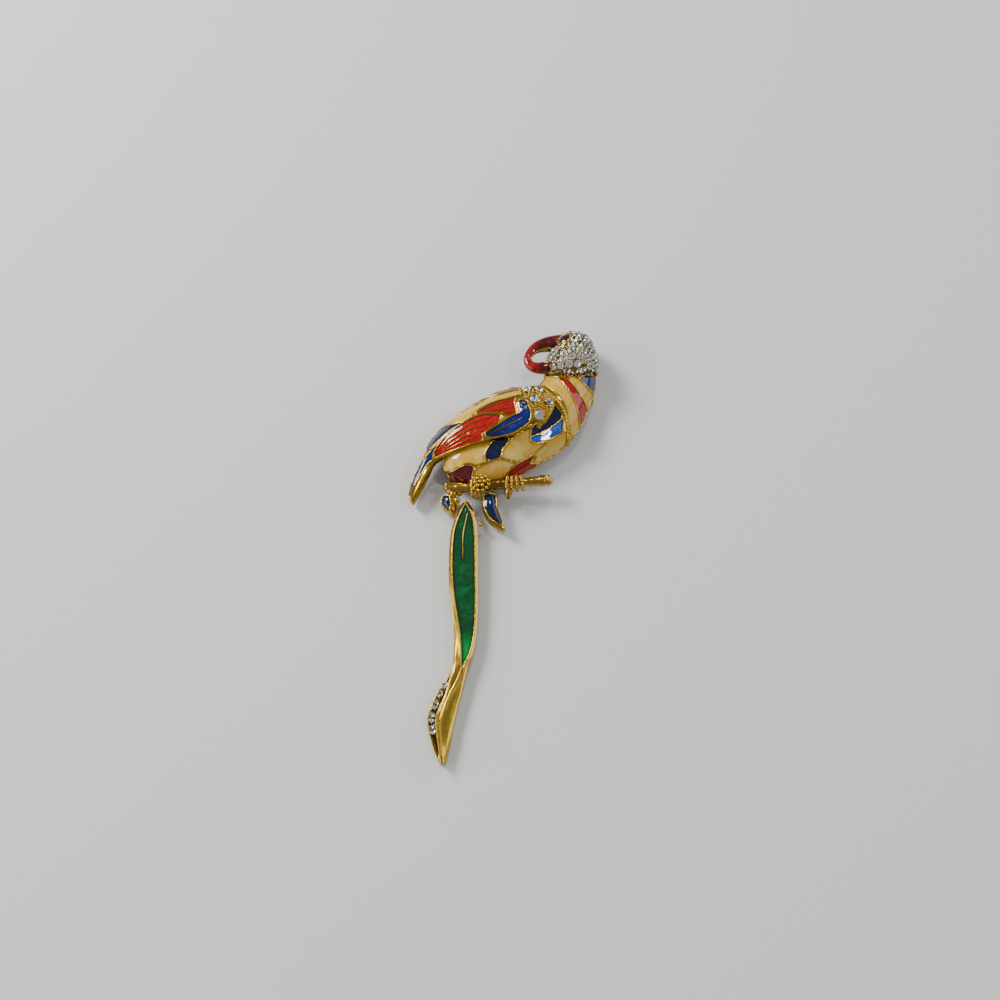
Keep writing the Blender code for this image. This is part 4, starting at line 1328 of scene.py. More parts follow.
@dataclass(frozen=True)
class StoneCut:
    """A round brilliant cut with a foiled back, in shares of its radius."""

    table: float = 0.48
    star: float = 0.74
    table_height: float = 0.42
    star_height: float = 0.27
    girdle: float = 0.05
    pavilion: float = 0.80
    askew: float = 0.12

    def rings(self) -> tuple[np.ndarray, list[tuple[int, ...]], list[int]]:
        """The stone's corners, faces and material numbers, glass first and foil second.

        Returns:
            The corners, the faces and the material number of each face.
        """
        def ring(count: int, radius: float, height: float, offset: float) -> list[tuple]:
            """Corners evenly round a circle.

            Args:
                count: How many corners.
                radius: The circle's radius.
                height: Its height.
                offset: How far the first corner is turned, in steps.

            Returns:
                The corners.
            """
            step = 2 * math.pi / count
            return [
                (radius * math.cos(step * (index + offset)),
                 radius * math.sin(step * (index + offset)), height)
                for index in range(count)
            ]

        verts = ring(8, self.table, self.table_height, 0.0)
        verts += ring(8, self.star, self.star_height, 0.5)
        verts += ring(16, 1.0, self.girdle / 2, 0.0)
        verts += ring(16, 1.0, -self.girdle / 2, 0.0)
        verts += [(0.0, 0.0, -self.pavilion)]
        faces: list[tuple[int, ...]] = [tuple(range(8))]
        for index in range(8):
            after, before = (index + 1) % 8, (index - 1) % 8
            girdle = 16 + 2 * index
            faces.append((index, 8 + index, after))
            faces.append((index, 8 + before, girdle, 8 + index))
            faces.append((8 + index, girdle, girdle + 1))
            faces.append((8 + index, girdle + 1, 16 + (2 * index + 2) % 16))
        for index in range(16):
            after = (index + 1) % 16
            faces.append((16 + index, 32 + index, 32 + after, 16 + after))
            faces.append((32 + index, 48, 32 + after))
        slots = [0] * len(faces)
        shell = len(verts)
        verts += ring(16, 1.02, -self.girdle / 2, 0.0) + [(0.0, 0.0, -self.pavilion - 0.05)]
        for index in range(16):
            after = (index + 1) % 16
            faces.append((shell + index, shell + 16, shell + after))
            slots.append(1)
        return np.array(verts), faces, slots

    def set_many(
        self, name: str, centres: Sequence[Vector], axes: Sequence[Vector], radii: Sequence[float]
    ) -> Piece:
        """Cut one stone, copy its mesh to each place and keep the copies as one piece.

        Args:
            name: The piece's name.
            centres: The stones' centres.
            axes: Which way each faces.
            radii: The stones' radii.

        Returns:
            The stones as one piece.
        """
        corners, faces, slots = self.rings()
        verts, all_faces, all_slots = [], [], []
        for copy, (centre, axis, radius) in enumerate(zip(centres, axes, radii)):
            # Each stone sits a little askew, so that neighbours flash differently.
            lean = Vector(
                (math.sin(7.1 * copy + 80 * centre[0]), math.cos(3.7 * copy + 50 * centre[1]), 0.0)
            )
            turn = Vector((0, 0, 1)).rotation_difference(axis + self.askew * lean).to_matrix()
            spin = Matrix.Rotation(copy * 2.4, 3, "Z")
            placed = corners @ np.array(turn @ spin).T * radius + np.array(centre)
            verts.append(placed)
            all_faces += [tuple(corner + copy * len(corners) for corner in face) for face in faces]
            all_slots += slots
        piece = mesh_piece(name, np.concatenate(verts), all_faces)
        piece.data.polygons.foreach_set("material_index", all_slots)
        return piece


CUT = StoneCut()


def around_stone(
    centre: Vector, axis: Vector, radius: float, count: int, turn: float, height: float
) -> list[Vector]:
    """Places for prongs evenly round a stone.

    Args:
        centre: The stone's centre.
        axis: Which way it faces.
        radius: How far out the prongs stand.
        count: How many there are.
        turn: The angle of the first.
        height: How far they stand over the centre.

    Returns:
        The places.
    """
    aside = axis.cross(Vector((0.3, 1.0, 0.1))).normalized()
    other = axis.cross(aside)
    places = []
    for index in range(count):
        angle = turn + index * 2 * math.pi / count
        outward = aside * math.cos(angle) + other * math.sin(angle)
        places.append(centre + outward * radius + axis * height)
    return places


@dataclass(frozen=True)
class Layout:
    """Plans of the parts of the bird, set out from the place of the solid pin."""

    length: float = 45.0 * MM
    width: float = 18.5 * MM
    heading: float = 33.0
    pin_block: float = 3.8 * MM
    catch: Place = (0.112, 0.150)
    hinge: Place = (0.886, -0.206)

    def torso(self) -> Plan:
        """Place the torso so that its catch block lies where the solid one does.

        Returns:
            The plan of the torso.
        """
        loose = Plan(0.0, 0.0, self.heading, self.length, self.width)
        corner = loose.at(*self.catch) - Vector((self.pin_block, self.pin_block, 0.0)) / 2
        low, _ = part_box("pin_back")
        return Plan(low[0] - corner.x, low[1] - corner.y, self.heading, self.length, self.width)

    def branch_off(self, place: Place, heading: float, length: float, width: float) -> Plan:
        """Start another plan at a place on the torso's."""
        start = self.torso().at(*place)
        return Plan(start.x, start.y, heading, length, width)


LAYOUT = Layout()
TORSO = LAYOUT.torso()
RIM = 2.6 * MM

# The sections of every form are those of the solids.
TORSO_FORM = Form(
    TORSO,
    (
        (0.012, -0.078, 0.027, 0.059, 0.50, 0.06),
        (0.014, -0.178, 0.061, 0.154, 0.50, 0.48),
        (0.051, -0.319, 0.124, 0.241, 0.50, 0.74),
        (0.120, -0.454, 0.216, 0.300, 0.50, 0.90),
        (0.241, -0.575, 0.347, 0.337, 0.52, 1.00),
        (0.410, -0.616, 0.486, 0.323, 0.53, 1.02),
        (0.575, -0.620, 0.588, 0.290, 0.52, 1.00),
        (0.712, -0.522, 0.661, 0.265, 0.50, 0.95),
        (0.827, -0.350, 0.714, 0.285, 0.48, 0.86),
        (0.914, -0.199, 0.754, 0.337, 0.46, 0.76),
        (0.972, -0.033, 0.799, 0.407, 0.46, 0.56),
        (0.986, 0.176, 0.876, 0.439, 0.46, 0.06),
    ),
    RIM, 6.0 * MM,
)
WING_FORM = Form(
    TORSO,
    (
        (0.557, -0.252, 0.621, 0.254, 0.50, 0.98, 0.92, 0.52),
        (0.475, -0.265, 0.567, 0.360, 0.48, 1.00, 0.92, 0.42),
        (0.376, -0.258, 0.493, 0.448, 0.46, 0.99, 0.91, 0.32),
        (0.286, -0.170, 0.401, 0.497, 0.44, 0.95, 0.88, 0.25),
        (0.199, -0.069, 0.300, 0.507, 0.42, 0.88, 0.82, 0.22),
        (0.115, 0.010, 0.190, 0.491, 0.42, 0.76, 0.70, 0.20),
        (0.045, 0.086, 0.091, 0.452, 0.42, 0.57, 0.51, 0.17),
        (-0.004, 0.116, 0.000, 0.341, 0.44, 0.42, 0.33, 0.15),
        (-0.047, 0.071, -0.076, 0.226, 0.52, 0.32, 0.20, 0.10),
        (-0.117, -0.018, -0.147, 0.115, 0.52, 0.25, 0.11, 0.05),
        (-0.182, -0.089, -0.195, -0.007, 0.52, 0.15, 0.06, 0.03),
        (-0.201, -0.108, -0.206, -0.079, 0.50, 0.07, 0.05, 0.05),
    ),
    RIM, 8.0 * MM, 30.0, 20.0,
)
HEAD_FORM = Form(
    LAYOUT.branch_off((0.838, 0.011), 90.0, 15.0 * MM, 13.5 * MM),
    (
        (0.196, -0.331, 0.202, 0.332, 0.50, 0.05, 0.0, 0.0, -0.107),
        (0.235, -0.426, 0.249, 0.465, 0.50, 0.65, 0.0, 0.0, -0.187),
        (0.368, -0.463, 0.348, 0.457, 0.50, 0.92, 0.0, 0.0, -0.213),
        (0.527, -0.463, 0.481, 0.398, 0.50, 1.00, 0.0, 0.0, -0.160),
        (0.660, -0.434, 0.633, 0.340, 0.50, 0.93, 0.0, 0.0, -0.080),
        (0.779, -0.375, 0.772, 0.281, 0.50, 0.72, 0.0, 0.0, -0.020),
        (0.872, -0.279, 0.872, 0.200, 0.50, 0.38, 0.0, 0.0, 0.000),
        (0.931, -0.169, 0.931, 0.067, 0.50, 0.01, 0.0, 0.0, 0.000),
    ),
    3.0 * MM, 7.4 * MM,
)
TAIL_FORM = Form(
    LAYOUT.branch_off((0.0173, -0.4337), -97.0, 57.0 * MM, 6.5 * MM),
    (
        (0.023, -0.042, 0.017, 0.121, 0.50, 0.92, 0.85, 0.85),
        (0.078, -0.230, 0.064, 0.370, 0.50, 1.00, 0.82, 0.82),
        (0.148, -0.357, 0.126, 0.498, 0.50, 0.97, 0.77, 0.80),
        (0.234, -0.358, 0.220, 0.583, 0.50, 0.92, 0.72, 0.75),
        (0.349, -0.270, 0.337, 0.662, 0.50, 0.87, 0.67, 0.70),
        (0.450, -0.110, 0.435, 0.720, 0.50, 0.82, 0.65, 0.65),
        (0.542, 0.053, 0.530, 0.729, 0.50, 0.77, 0.62, 0.62),
        (0.622, 0.075, 0.604, 0.669, 0.50, 0.75, 0.57, 0.60),
        (0.681, 0.000, 0.666, 0.533, 0.50, 0.72, 0.47, 0.57),
        (0.759, -0.386, 0.752, 0.393, 0.52, 0.72, 0.32, 0.55),
        (0.841, -0.581, 0.836, 0.266, 0.55, 0.72, 0.27, 0.52),
        (0.918, -0.404, 0.917, 0.181, 0.55, 0.70, 0.27, 0.50),
        (0.989, -0.101, 0.989, 0.089, 0.50, 0.55, 0.35, 0.45),
    ),
    0.0, 4.0 * MM, 35.0, 35.0,
)
SHOULDER_FORM = Form(
    TORSO,
    (
        (0.510, -0.345, 0.500, -0.300, 0.50, 0.70, 0.62, 0.62),
        (0.580, -0.290, 0.500, -0.160, 0.50, 0.92, 0.72, 0.82),
        (0.638, -0.210, 0.497, -0.010, 0.50, 1.00, 0.76, 0.94),
        (0.665, -0.100, 0.512, 0.090, 0.50, 1.00, 0.76, 0.94),
        (0.660, 0.030, 0.542, 0.160, 0.50, 0.96, 0.72, 0.84),
        (0.640, 0.120, 0.595, 0.170, 0.50, 0.84, 0.66, 0.72),
    ),
    RIM, 7.9 * MM, 25.0, 25.0,
)
LEFT_LEAF_FORM = Form(
    LAYOUT.branch_off((-0.040, -0.270), -80.0, 4.8 * MM, 3.6 * MM),
    (
        (0.02, -0.32, 0.02, 0.34, 0.55, 0.75, 0.55, 0.60),
        (0.30, -0.50, 0.28, 0.50, 0.55, 1.00, 0.55, 0.75),
        (0.58, -0.46, 0.58, 0.42, 0.55, 1.00, 0.50, 0.75),
        (0.82, -0.26, 0.80, 0.26, 0.50, 0.80, 0.45, 0.60),
        (1.00, -0.04, 0.97, 0.14, 0.50, 0.50, 0.40, 0.45),
    ),
    1.4 * MM, 3.0 * MM, 30.0, 30.0,
)
RIGHT_LEAF_FORM = Form(
    LAYOUT.branch_off((0.126, -0.572), -79.0, 9.4 * MM, 3.6 * MM),
    (
        (0.00, -0.40, 0.02, 0.36, 0.50, 0.90, 0.70, 0.70),
        (0.22, -0.62, 0.22, 0.30, 0.50, 1.00, 0.72, 0.72),
        (0.44, -0.64, 0.42, 0.22, 0.50, 1.00, 0.72, 0.72),
        (0.68, -0.46, 0.62, 0.24, 0.50, 0.92, 0.66, 0.66),
        (0.86, -0.10, 0.80, 0.28, 0.50, 0.80, 0.55, 0.60),
        (0.98, 0.16, 0.95, 0.36, 0.50, 0.60, 0.45, 0.50),
    ),
    1.4 * MM, 3.0 * MM, 30.0, 30.0,
)


def cell(
    name: str, slot: str, finish: Finish, outline: Outline, veins: tuple[Outline, ...] = (),
    **sizes: float,
) -> Cell:
    """Describe an enamelled cell that stands for the solid inlay of the same name."""
    return Cell(f"glaze_{name}", (f"enamel_{name}",), slot, finish, outline, veins, **sizes)


# The outlines of the cells were read off the photo, as rows and sides.
TORSO_CELLS = (
    cell("neck_cream_front", "cream_enamel", Finish.CREAM, (
        (7.30, 0.62), (7.22, 0.30), (7.15, 0.10), (7.05, -0.10), (6.88, -0.30), (6.70, -0.45),
        (6.55, -0.60), (6.44, -0.76), (6.55, -0.88), (6.95, -0.86), (7.08, -0.68),
        (7.28, -0.50), (7.50, -0.30), (7.70, -0.13), (7.90, 0.05), (8.15, 0.16), (8.40, 0.30),
        (8.40, 0.62))),
    cell("neck_red", "red_enamel", Finish.RED, (
        (8.02, 0.06), (7.70, -0.14), (7.50, -0.31), (7.28, -0.51), (7.08, -0.70),
        (7.02, -0.88), (7.75, -0.92), (7.78, -0.70), (7.86, -0.55), (7.95, -0.38),
        (8.12, -0.22), (8.32, -0.08), (8.45, 0.10), (8.40, 0.26))),
    cell("neck_cream_back", "cream_enamel", Finish.CREAM, (
        (8.44, 0.02), (8.32, -0.10), (8.12, -0.24), (7.96, -0.40), (7.88, -0.56),
        (7.80, -0.72), (7.78, -0.92), (8.50, -0.92), (8.62, -0.80), (8.55, -0.62),
        (8.66, -0.36), (8.80, -0.20), (8.80, 0.00))),
    cell("nape_blue", "blue_enamel", Finish.ROYAL, (
        (8.76, -0.30), (8.62, -0.50), (8.62, -0.66), (8.72, -0.80), (8.90, -0.92),
        (9.90, -0.93), (9.80, -0.70), (9.55, -0.48), (9.20, -0.30), (8.95, -0.22))),
    cell("shoulder_navy", "navy_enamel", Finish.NAVY, (
        (6.56, 0.04), (6.58, -0.15), (6.45, -0.35), (5.50, -0.36), (5.10, -0.32),
        (5.24, -0.22), (5.72, -0.16), (6.20, -0.08), (6.45, 0.00))),
    cell("shoulder_blue", "blue_enamel", Finish.BLUE, (
        (6.42, -0.37), (6.30, -0.48), (6.10, -0.59), (5.90, -0.55), (5.60, -0.53),
        (5.20, -0.47), (5.05, -0.40), (5.12, -0.34), (5.50, -0.37))),
    cell("feather_cream_upper", "cream_enamel", Finish.CREAM, (
        (4.00, -0.38), (4.12, -0.29), (4.42, -0.22), (4.80, -0.19), (5.20, -0.22),
        (5.08, -0.32), (5.02, -0.40), (5.18, -0.49), (5.50, -0.54), (5.30, -0.58),
        (4.95, -0.62), (4.55, -0.62), (4.35, -0.55), (4.15, -0.46))),
    cell("feather_cream_front", "cream_enamel", Finish.CREAM, (
        (4.95, -0.64), (5.30, -0.60), (5.60, -0.55), (6.05, -0.56), (6.30, -0.62),
        (6.24, -0.74), (6.10, -0.90), (5.50, -0.94), (5.05, -0.92), (4.90, -0.80),
        (5.02, -0.70))),
    cell("feather_red", "red_enamel", Finish.RED, (
        (4.48, -0.635), (4.98, -0.64), (4.86, -0.71), (4.76, -0.76), (4.90, -0.84),
        (4.92, -0.93), (4.10, -0.94), (3.98, -0.80), (4.06, -0.70), (4.25, -0.65))),
    cell("feather_navy", "navy_enamel", Finish.NAVY, (
        (4.38, -0.21), (4.12, -0.28), (3.98, -0.37), (3.62, -0.36), (3.44, -0.30),
        (3.50, -0.20), (3.70, -0.12), (3.95, -0.08), (4.40, -0.14))),
    cell("feather_cream_middle", "cream_enamel", Finish.CREAM, (
        (2.78, -0.44), (3.12, -0.385), (3.70, -0.375), (4.00, -0.42), (4.28, -0.55),
        (4.42, -0.62), (4.08, -0.66), (3.90, -0.76), (3.90, -0.92), (2.86, -0.92),
        (2.72, -0.62))),
    cell("feather_cream_back", "cream_enamel", Finish.CREAM, (
        (0.55, -0.10), (0.70, -0.24), (1.00, -0.29), (1.50, -0.29), (1.95, -0.245),
        (2.40, -0.225), (2.78, -0.27), (3.00, -0.335), (3.40, -0.335), (3.40, -0.25),
        (3.62, -0.12), (3.80, -0.02), (3.40, 0.10), (2.50, 0.26), (1.60, 0.40),
        (0.95, 0.42), (0.60, 0.20))),
    cell("feather_maroon", "maroon_enamel", Finish.MAROON, (
        (0.72, -0.36), (1.05, -0.33), (1.50, -0.325), (1.98, -0.28), (2.42, -0.26),
        (2.70, -0.30), (2.85, -0.37), (2.68, -0.50), (2.52, -0.66), (2.40, -0.92),
        (1.00, -0.92), (0.80, -0.66))),
)
WING_CELLS = (
    cell("wing_cream", "cream_enamel", Finish.CREAM, (
        (0.92, 0.36), (1.30, 0.42), (1.80, 0.47), (2.40, 0.54), (2.72, 0.62), (3.00, 0.58),
        (3.40, 0.54), (3.84, 0.62), (4.30, 0.76), (4.90, 0.86), (5.36, 0.88), (5.42, 0.74),
        (5.10, 0.52), (4.74, 0.34), (4.36, 0.17), (3.96, 0.16), (3.70, 0.25),
        (3.10, 0.30), (2.40, 0.29), (1.60, 0.22), (0.95, 0.20))),
    cell("wing_red_upper", "red_enamel", Finish.RED, (
        (1.35, 0.14), (1.85, 0.22), (2.42, 0.27), (3.20, 0.26), (3.66, 0.20), (3.20, 0.10),
        (2.74, 0.00), (2.40, -0.10), (2.16, -0.22), (1.95, -0.30), (1.58, -0.29),
        (1.50, -0.10), (1.50, 0.05)),
        (((1.60, 0.12), (2.10, 0.175), (2.70, 0.205), (3.30, 0.205)),
         ((1.60, -0.06), (2.00, -0.01), (2.50, 0.05), (3.00, 0.12)),
         ((1.66, -0.20), (1.95, -0.16), (2.30, -0.10), (2.62, -0.02)))),
    cell("wing_red_lower", "red_enamel", Finish.RED, (
        (2.42, -0.17), (2.90, 0.00), (3.35, 0.09), (3.95, 0.13), (4.60, 0.13), (5.25, 0.09),
        (5.90, 0.00), (6.36, -0.14), (6.62, -0.36), (6.68, -0.64), (6.25, -0.82),
        (5.50, -0.88), (4.75, -0.92), (4.05, -0.94), (3.60, -0.93), (3.54, -0.62),
        (3.05, -0.46), (2.60, -0.36)),
        (((2.90, -0.12), (3.60, -0.03), (4.30, -0.01), (5.00, -0.05), (5.70, -0.15),
          (6.25, -0.30)),
         ((3.30, -0.32), (3.80, -0.24), (4.40, -0.20), (5.10, -0.24), (5.80, -0.36)),
         ((4.34, -0.42), (4.80, -0.42), (5.40, -0.46), (6.00, -0.52)),
         ((3.85, -0.62), (4.40, -0.63), (5.00, -0.62), (5.60, -0.61)))),
    cell("wing_blue", "blue_enamel", Finish.ROYAL, (
        (1.42, -0.36), (1.75, -0.33), (2.20, -0.35), (2.72, -0.46), (3.28, -0.56),
        (3.42, -0.66), (3.30, -0.82), (2.90, -0.94), (1.60, -0.95), (1.08, -0.90),
        (0.82, -0.66), (0.78, -0.30), (0.90, -0.08), (1.28, 0.02), (1.42, -0.12)),
        (((1.35, -0.58), (1.90, -0.56), (2.50, -0.60), (3.05, -0.68)),)),
    cell("wing_dark", "navy_enamel", Finish.NAVY, (
        (4.42, 0.16), (4.78, 0.31), (5.16, 0.50), (5.50, 0.72), (5.80, 0.88), (6.35, 0.90),
        (6.78, 0.74), (6.88, 0.45), (6.90, 0.24), (6.10, 0.15), (5.20, 0.16))),
    cell("primary_blue", "blue_enamel", Finish.ROYAL, (
        (5.20, 0.12), (6.00, 0.09), (6.80, 0.12), (7.25, 0.20), (7.70, 0.36), (8.30, 0.58),
        (8.90, 0.72), (9.60, 0.80), (10.25, 0.84), (10.40, 0.64), (10.00, 0.30), (9.40, 0.08),
        (8.80, -0.08), (8.10, -0.22), (7.60, -0.32), (7.35, -0.44), (7.05, -0.58),
        (6.84, -0.56), (6.74, -0.34), (6.48, -0.12), (5.98, 0.03))),
    # Two narrow strips along the upper edge, for which there are no solids.
    Cell("glaze_edge_upper", (), "navy_enamel", Finish.NAVY, (
        (0.95, 0.40), (1.30, 0.46), (1.80, 0.51), (2.35, 0.58), (2.60, 0.68), (2.40, 0.84),
        (1.80, 0.82), (1.20, 0.70)), wire=0.10 * MM),
    Cell("glaze_edge_lower", (), "navy_enamel", Finish.NAVY, (
        (2.88, 0.66), (3.10, 0.60), (3.42, 0.58), (3.74, 0.63), (3.90, 0.72), (3.70, 0.86),
        (3.20, 0.86)),
        wire=0.10 * MM),
)
EYE_CELL = Cell(
    "eye_cabochon", ("eye",), "eye_enamel", Finish.EYE,
    ((3.85, 0.40), (4.25, 0.50), (4.75, 0.42), (4.95, 0.24), (4.65, 0.08), (4.15, 0.10),
     (3.88, 0.22)),
    dome=0.5 * MM,
)
TAIL_CELL = cell(
    "tail_green", "green_enamel", Finish.GREEN,
    ((0.25, 0.00), (0.55, -0.35), (1.10, -0.55), (1.80, -0.68), (2.65, -0.72), (3.60, -0.72),
     (4.80, -0.64), (5.60, -0.54), (6.25, -0.42), (6.75, -0.28), (7.30, -0.10), (7.70, 0.06),
     (7.80, 0.22), (7.55, 0.42), (7.10, 0.60), (6.50, 0.70), (5.40, 0.76), (4.20, 0.78),
     (3.00, 0.78), (1.90, 0.72), (1.10, 0.60), (0.60, 0.40)),
    (((0.95, 0.22), (1.60, 0.08), (2.40, -0.04), (3.24, -0.02)),),
    vein_width=0.16 * MM, dome=-0.32 * MM,
)
LEFT_LEAF_CELL = cell(
    "leaf_left", "blue_enamel", Finish.NAVY,
    ((0.35, -0.80), (1.20, -0.86), (2.20, -0.86), (3.20, -0.72), (3.40, -0.20), (2.60, 0.05),
     (1.60, 0.10), (0.60, 0.00)),
)
RIGHT_LEAF_CELL = cell(
    "leaf_right", "blue_enamel", Finish.NAVY,
    ((0.35, -0.55), (1.20, -0.66), (2.20, -0.66), (3.20, -0.54), (4.00, -0.20), (4.35, 0.20),
     (4.20, 0.80), (3.20, 0.93), (1.80, 0.93), (0.40, 0.85)),
)


@dataclass
class Torso(EnamelledForm):
    """The hollow cast body with its enamelled neck and breast."""

    wall: float = 1.3 * MM
    ridge: Outline = (
        (6.84, 0.55), (6.82, 0.36), (6.79, 0.13), (6.79, -0.09), (6.71, -0.27), (6.60, -0.42),
        (6.45, -0.60), (6.26, -0.76), (6.16, -0.93),
    )
    ridge_radius: float = 0.42 * MM
    bead: float = 0.40 * MM
    bead_pitch: float = 0.80 * MM
    bead_lift: float = 0.30 * MM

    def build(self) -> None:
        """Model the casting, its enamel and its beaded ridge."""
        casting = closed_skin(
            "torso_gold", self.form, (300, 130), self.height,
            partial(self.form.inner, wall=self.wall), self.hollow,
        )
        finish_gold(casting, "body_casting")
        self.enamel()
        self.wires("torso_wires")
        line = self.form.line(self.ridge, 8)
        centres = [Vector(point) for point in line.raised(0.05 * MM)]
        finish_gold(swept("ridge_bar", centres, [self.ridge_radius] * len(centres)))
        spaced = evenly(line.raised(self.bead_lift), self.bead_pitch)
        finish_gold(beads("ridge_beads", spaced, [self.bead] * len(spaced)))


@dataclass
class Wing(EnamelledForm):
    """The wing, cast on its own, whose long primary runs out over the tail."""

    plate: float = 1.6 * MM
    root: float = 0.7
    clearance: float = 0.25 * MM
    thinnest: float = 0.7 * MM
    knob: float = 0.42 * MM
    knob_place: Place = (4.22, -0.40)

    def underside(self, spots: Spots) -> np.ndarray:
        """The plain back of the plate, kept clear of the torso below it.

        Args:
            spots: Spots on the form.

        Returns:
            The point of the back below each spot.
        """
        low = spots.points - np.array([0.0, 0.0, self.plate])
        rows = np.linspace(0, TORSO_FORM.last_row, 260)
        sides = np.linspace(-1, 1, 140)
        body = TORSO_FORM.points(*(axis.ravel() for axis in np.meshgrid(rows, sides)))
        step = 0.4 * MM
        corner = low[:, :2].min(axis=0) - step
        span = ((low[:, :2].max(axis=0) - corner) / step).astype(int) + 2
        top = np.zeros(tuple(span))
        place = ((body[:, :2] - corner) / step).astype(int)
        fits = np.all((place >= 0) & (place < span), axis=1)
        np.maximum.at(top, (place[fits, 0], place[fits, 1]), body[fits, 2])
        own = ((low[:, :2] - corner) / step).astype(int)
        above = top[own[:, 0], own[:, 1]] + self.clearance
        low[:, 2] = np.minimum(np.maximum(low[:, 2], above), spots.points[:, 2] - self.thinnest)
        return low

    def build(self) -> None:
        """Model the casting and its enamel."""
        casting = closed_skin(
            "wing_gold", self.form, (290, 110), self.height, self.underside, self.hollow,
            self.root,
        )
        finish_gold(casting, "wing_casting")
        self.enamel()
        self.wires("wing_wires")
        spot = self.form.spot(*self.knob_place)
        finish_gold(beads("wing_knob", [Vector(spot.raised(0.05 * MM)[0])], [self.knob]))


@dataclass
class Beak:
    """The hooked beak, a bent bar in red enamel with a gold inner edge."""

    plan: Plan
    # Shares of the plan's length and width, and of the radius.
    path: tuple[Triple, ...] = (
        (0.715, 0.10, 1.30), (0.712, 0.26, 1.25), (0.695, 0.43, 1.10), (0.640, 0.60, 0.84),
        (0.505, 0.73, 0.60), (0.372, 0.74, 0.62), (0.285, 0.64, 0.78), (0.262, 0.49, 0.88),
        (0.275, 0.34, 0.80),
    )
    radius: float = 1.6 * MM
    height: float = 5.5 * MM
    middle: Place = (0.50, 0.42)
    lining_start: int = 6
    lining_reach: float = 0.86
    lining_rise: float = 0.3
    lining_size: float = 0.24

    def build(self) -> None:
        """Sweep the beak and its gold lining."""
        line = smooth_line(self.path, 6)
        centres = [self.plan.at(along, across, self.height) for along, across, _ in line]
        radii = [self.radius * share for _, _, share in line]
        beak = swept("beak_red", centres, radii, 24, 0.95)
        corners = get_corners(beak)
        tip = corners[:, 0].min()
        reach = (corners[:, 0] - tip) / (corners[:, 0].max() - tip)
        set_attribute(beak, "from_wall", np.full(len(corners), 2.0))
        set_attribute(beak, "along", step_up(reach, 0.0, 0.5))
        finish_piece(beak, "red_enamel", ["beak"], Finish.BEAK)
        heart = self.plan.at(*self.middle, self.height)
        lining, sizes = [], []
        for centre, radius in list(zip(centres, radii))[self.lining_start :]:
            inward = (heart - centre).normalized() * self.lining_reach
            lining.append(centre + (inward + Vector((0, 0, self.lining_rise))) * radius)
            sizes.append(radius * self.lining_size)
        rim = swept("beak_lining", lining, sizes, 12)
        finish_gold(rim)


def packed(spots: Spots, free: np.ndarray, pitch: float, start: np.ndarray) -> Spots:
    """Pack places on a surface, each as close as it can be to those already taken.

    Args:
        spots: A fine net of places to choose from.
        free: Which of them may be taken.
        pitch: The least distance between two taken places.
        start: The first place is the free one nearest this point.

    Returns:
        The taken places.
    """
    free = free.copy()
    near = np.full((2, len(spots.rows)), 1e9)
    index = int(np.argmin(np.linalg.norm(spots.points - start, axis=1) + ~free * 1e3))
    chosen = []
    while free.any():
        chosen.append(index)
        away = np.linalg.norm(spots.points - spots.points[index], axis=1)
        near = np.sort(np.vstack([near, away]), axis=0)[:2]
        free &= away >= pitch
        index = int(np.argmin(np.where(free, near[0] + np.minimum(near[1], 9.0), 1e9)))
    return Spots(
        spots.rows[chosen], spots.sides[chosen], spots.points[chosen], spots.normals[chosen]
    )


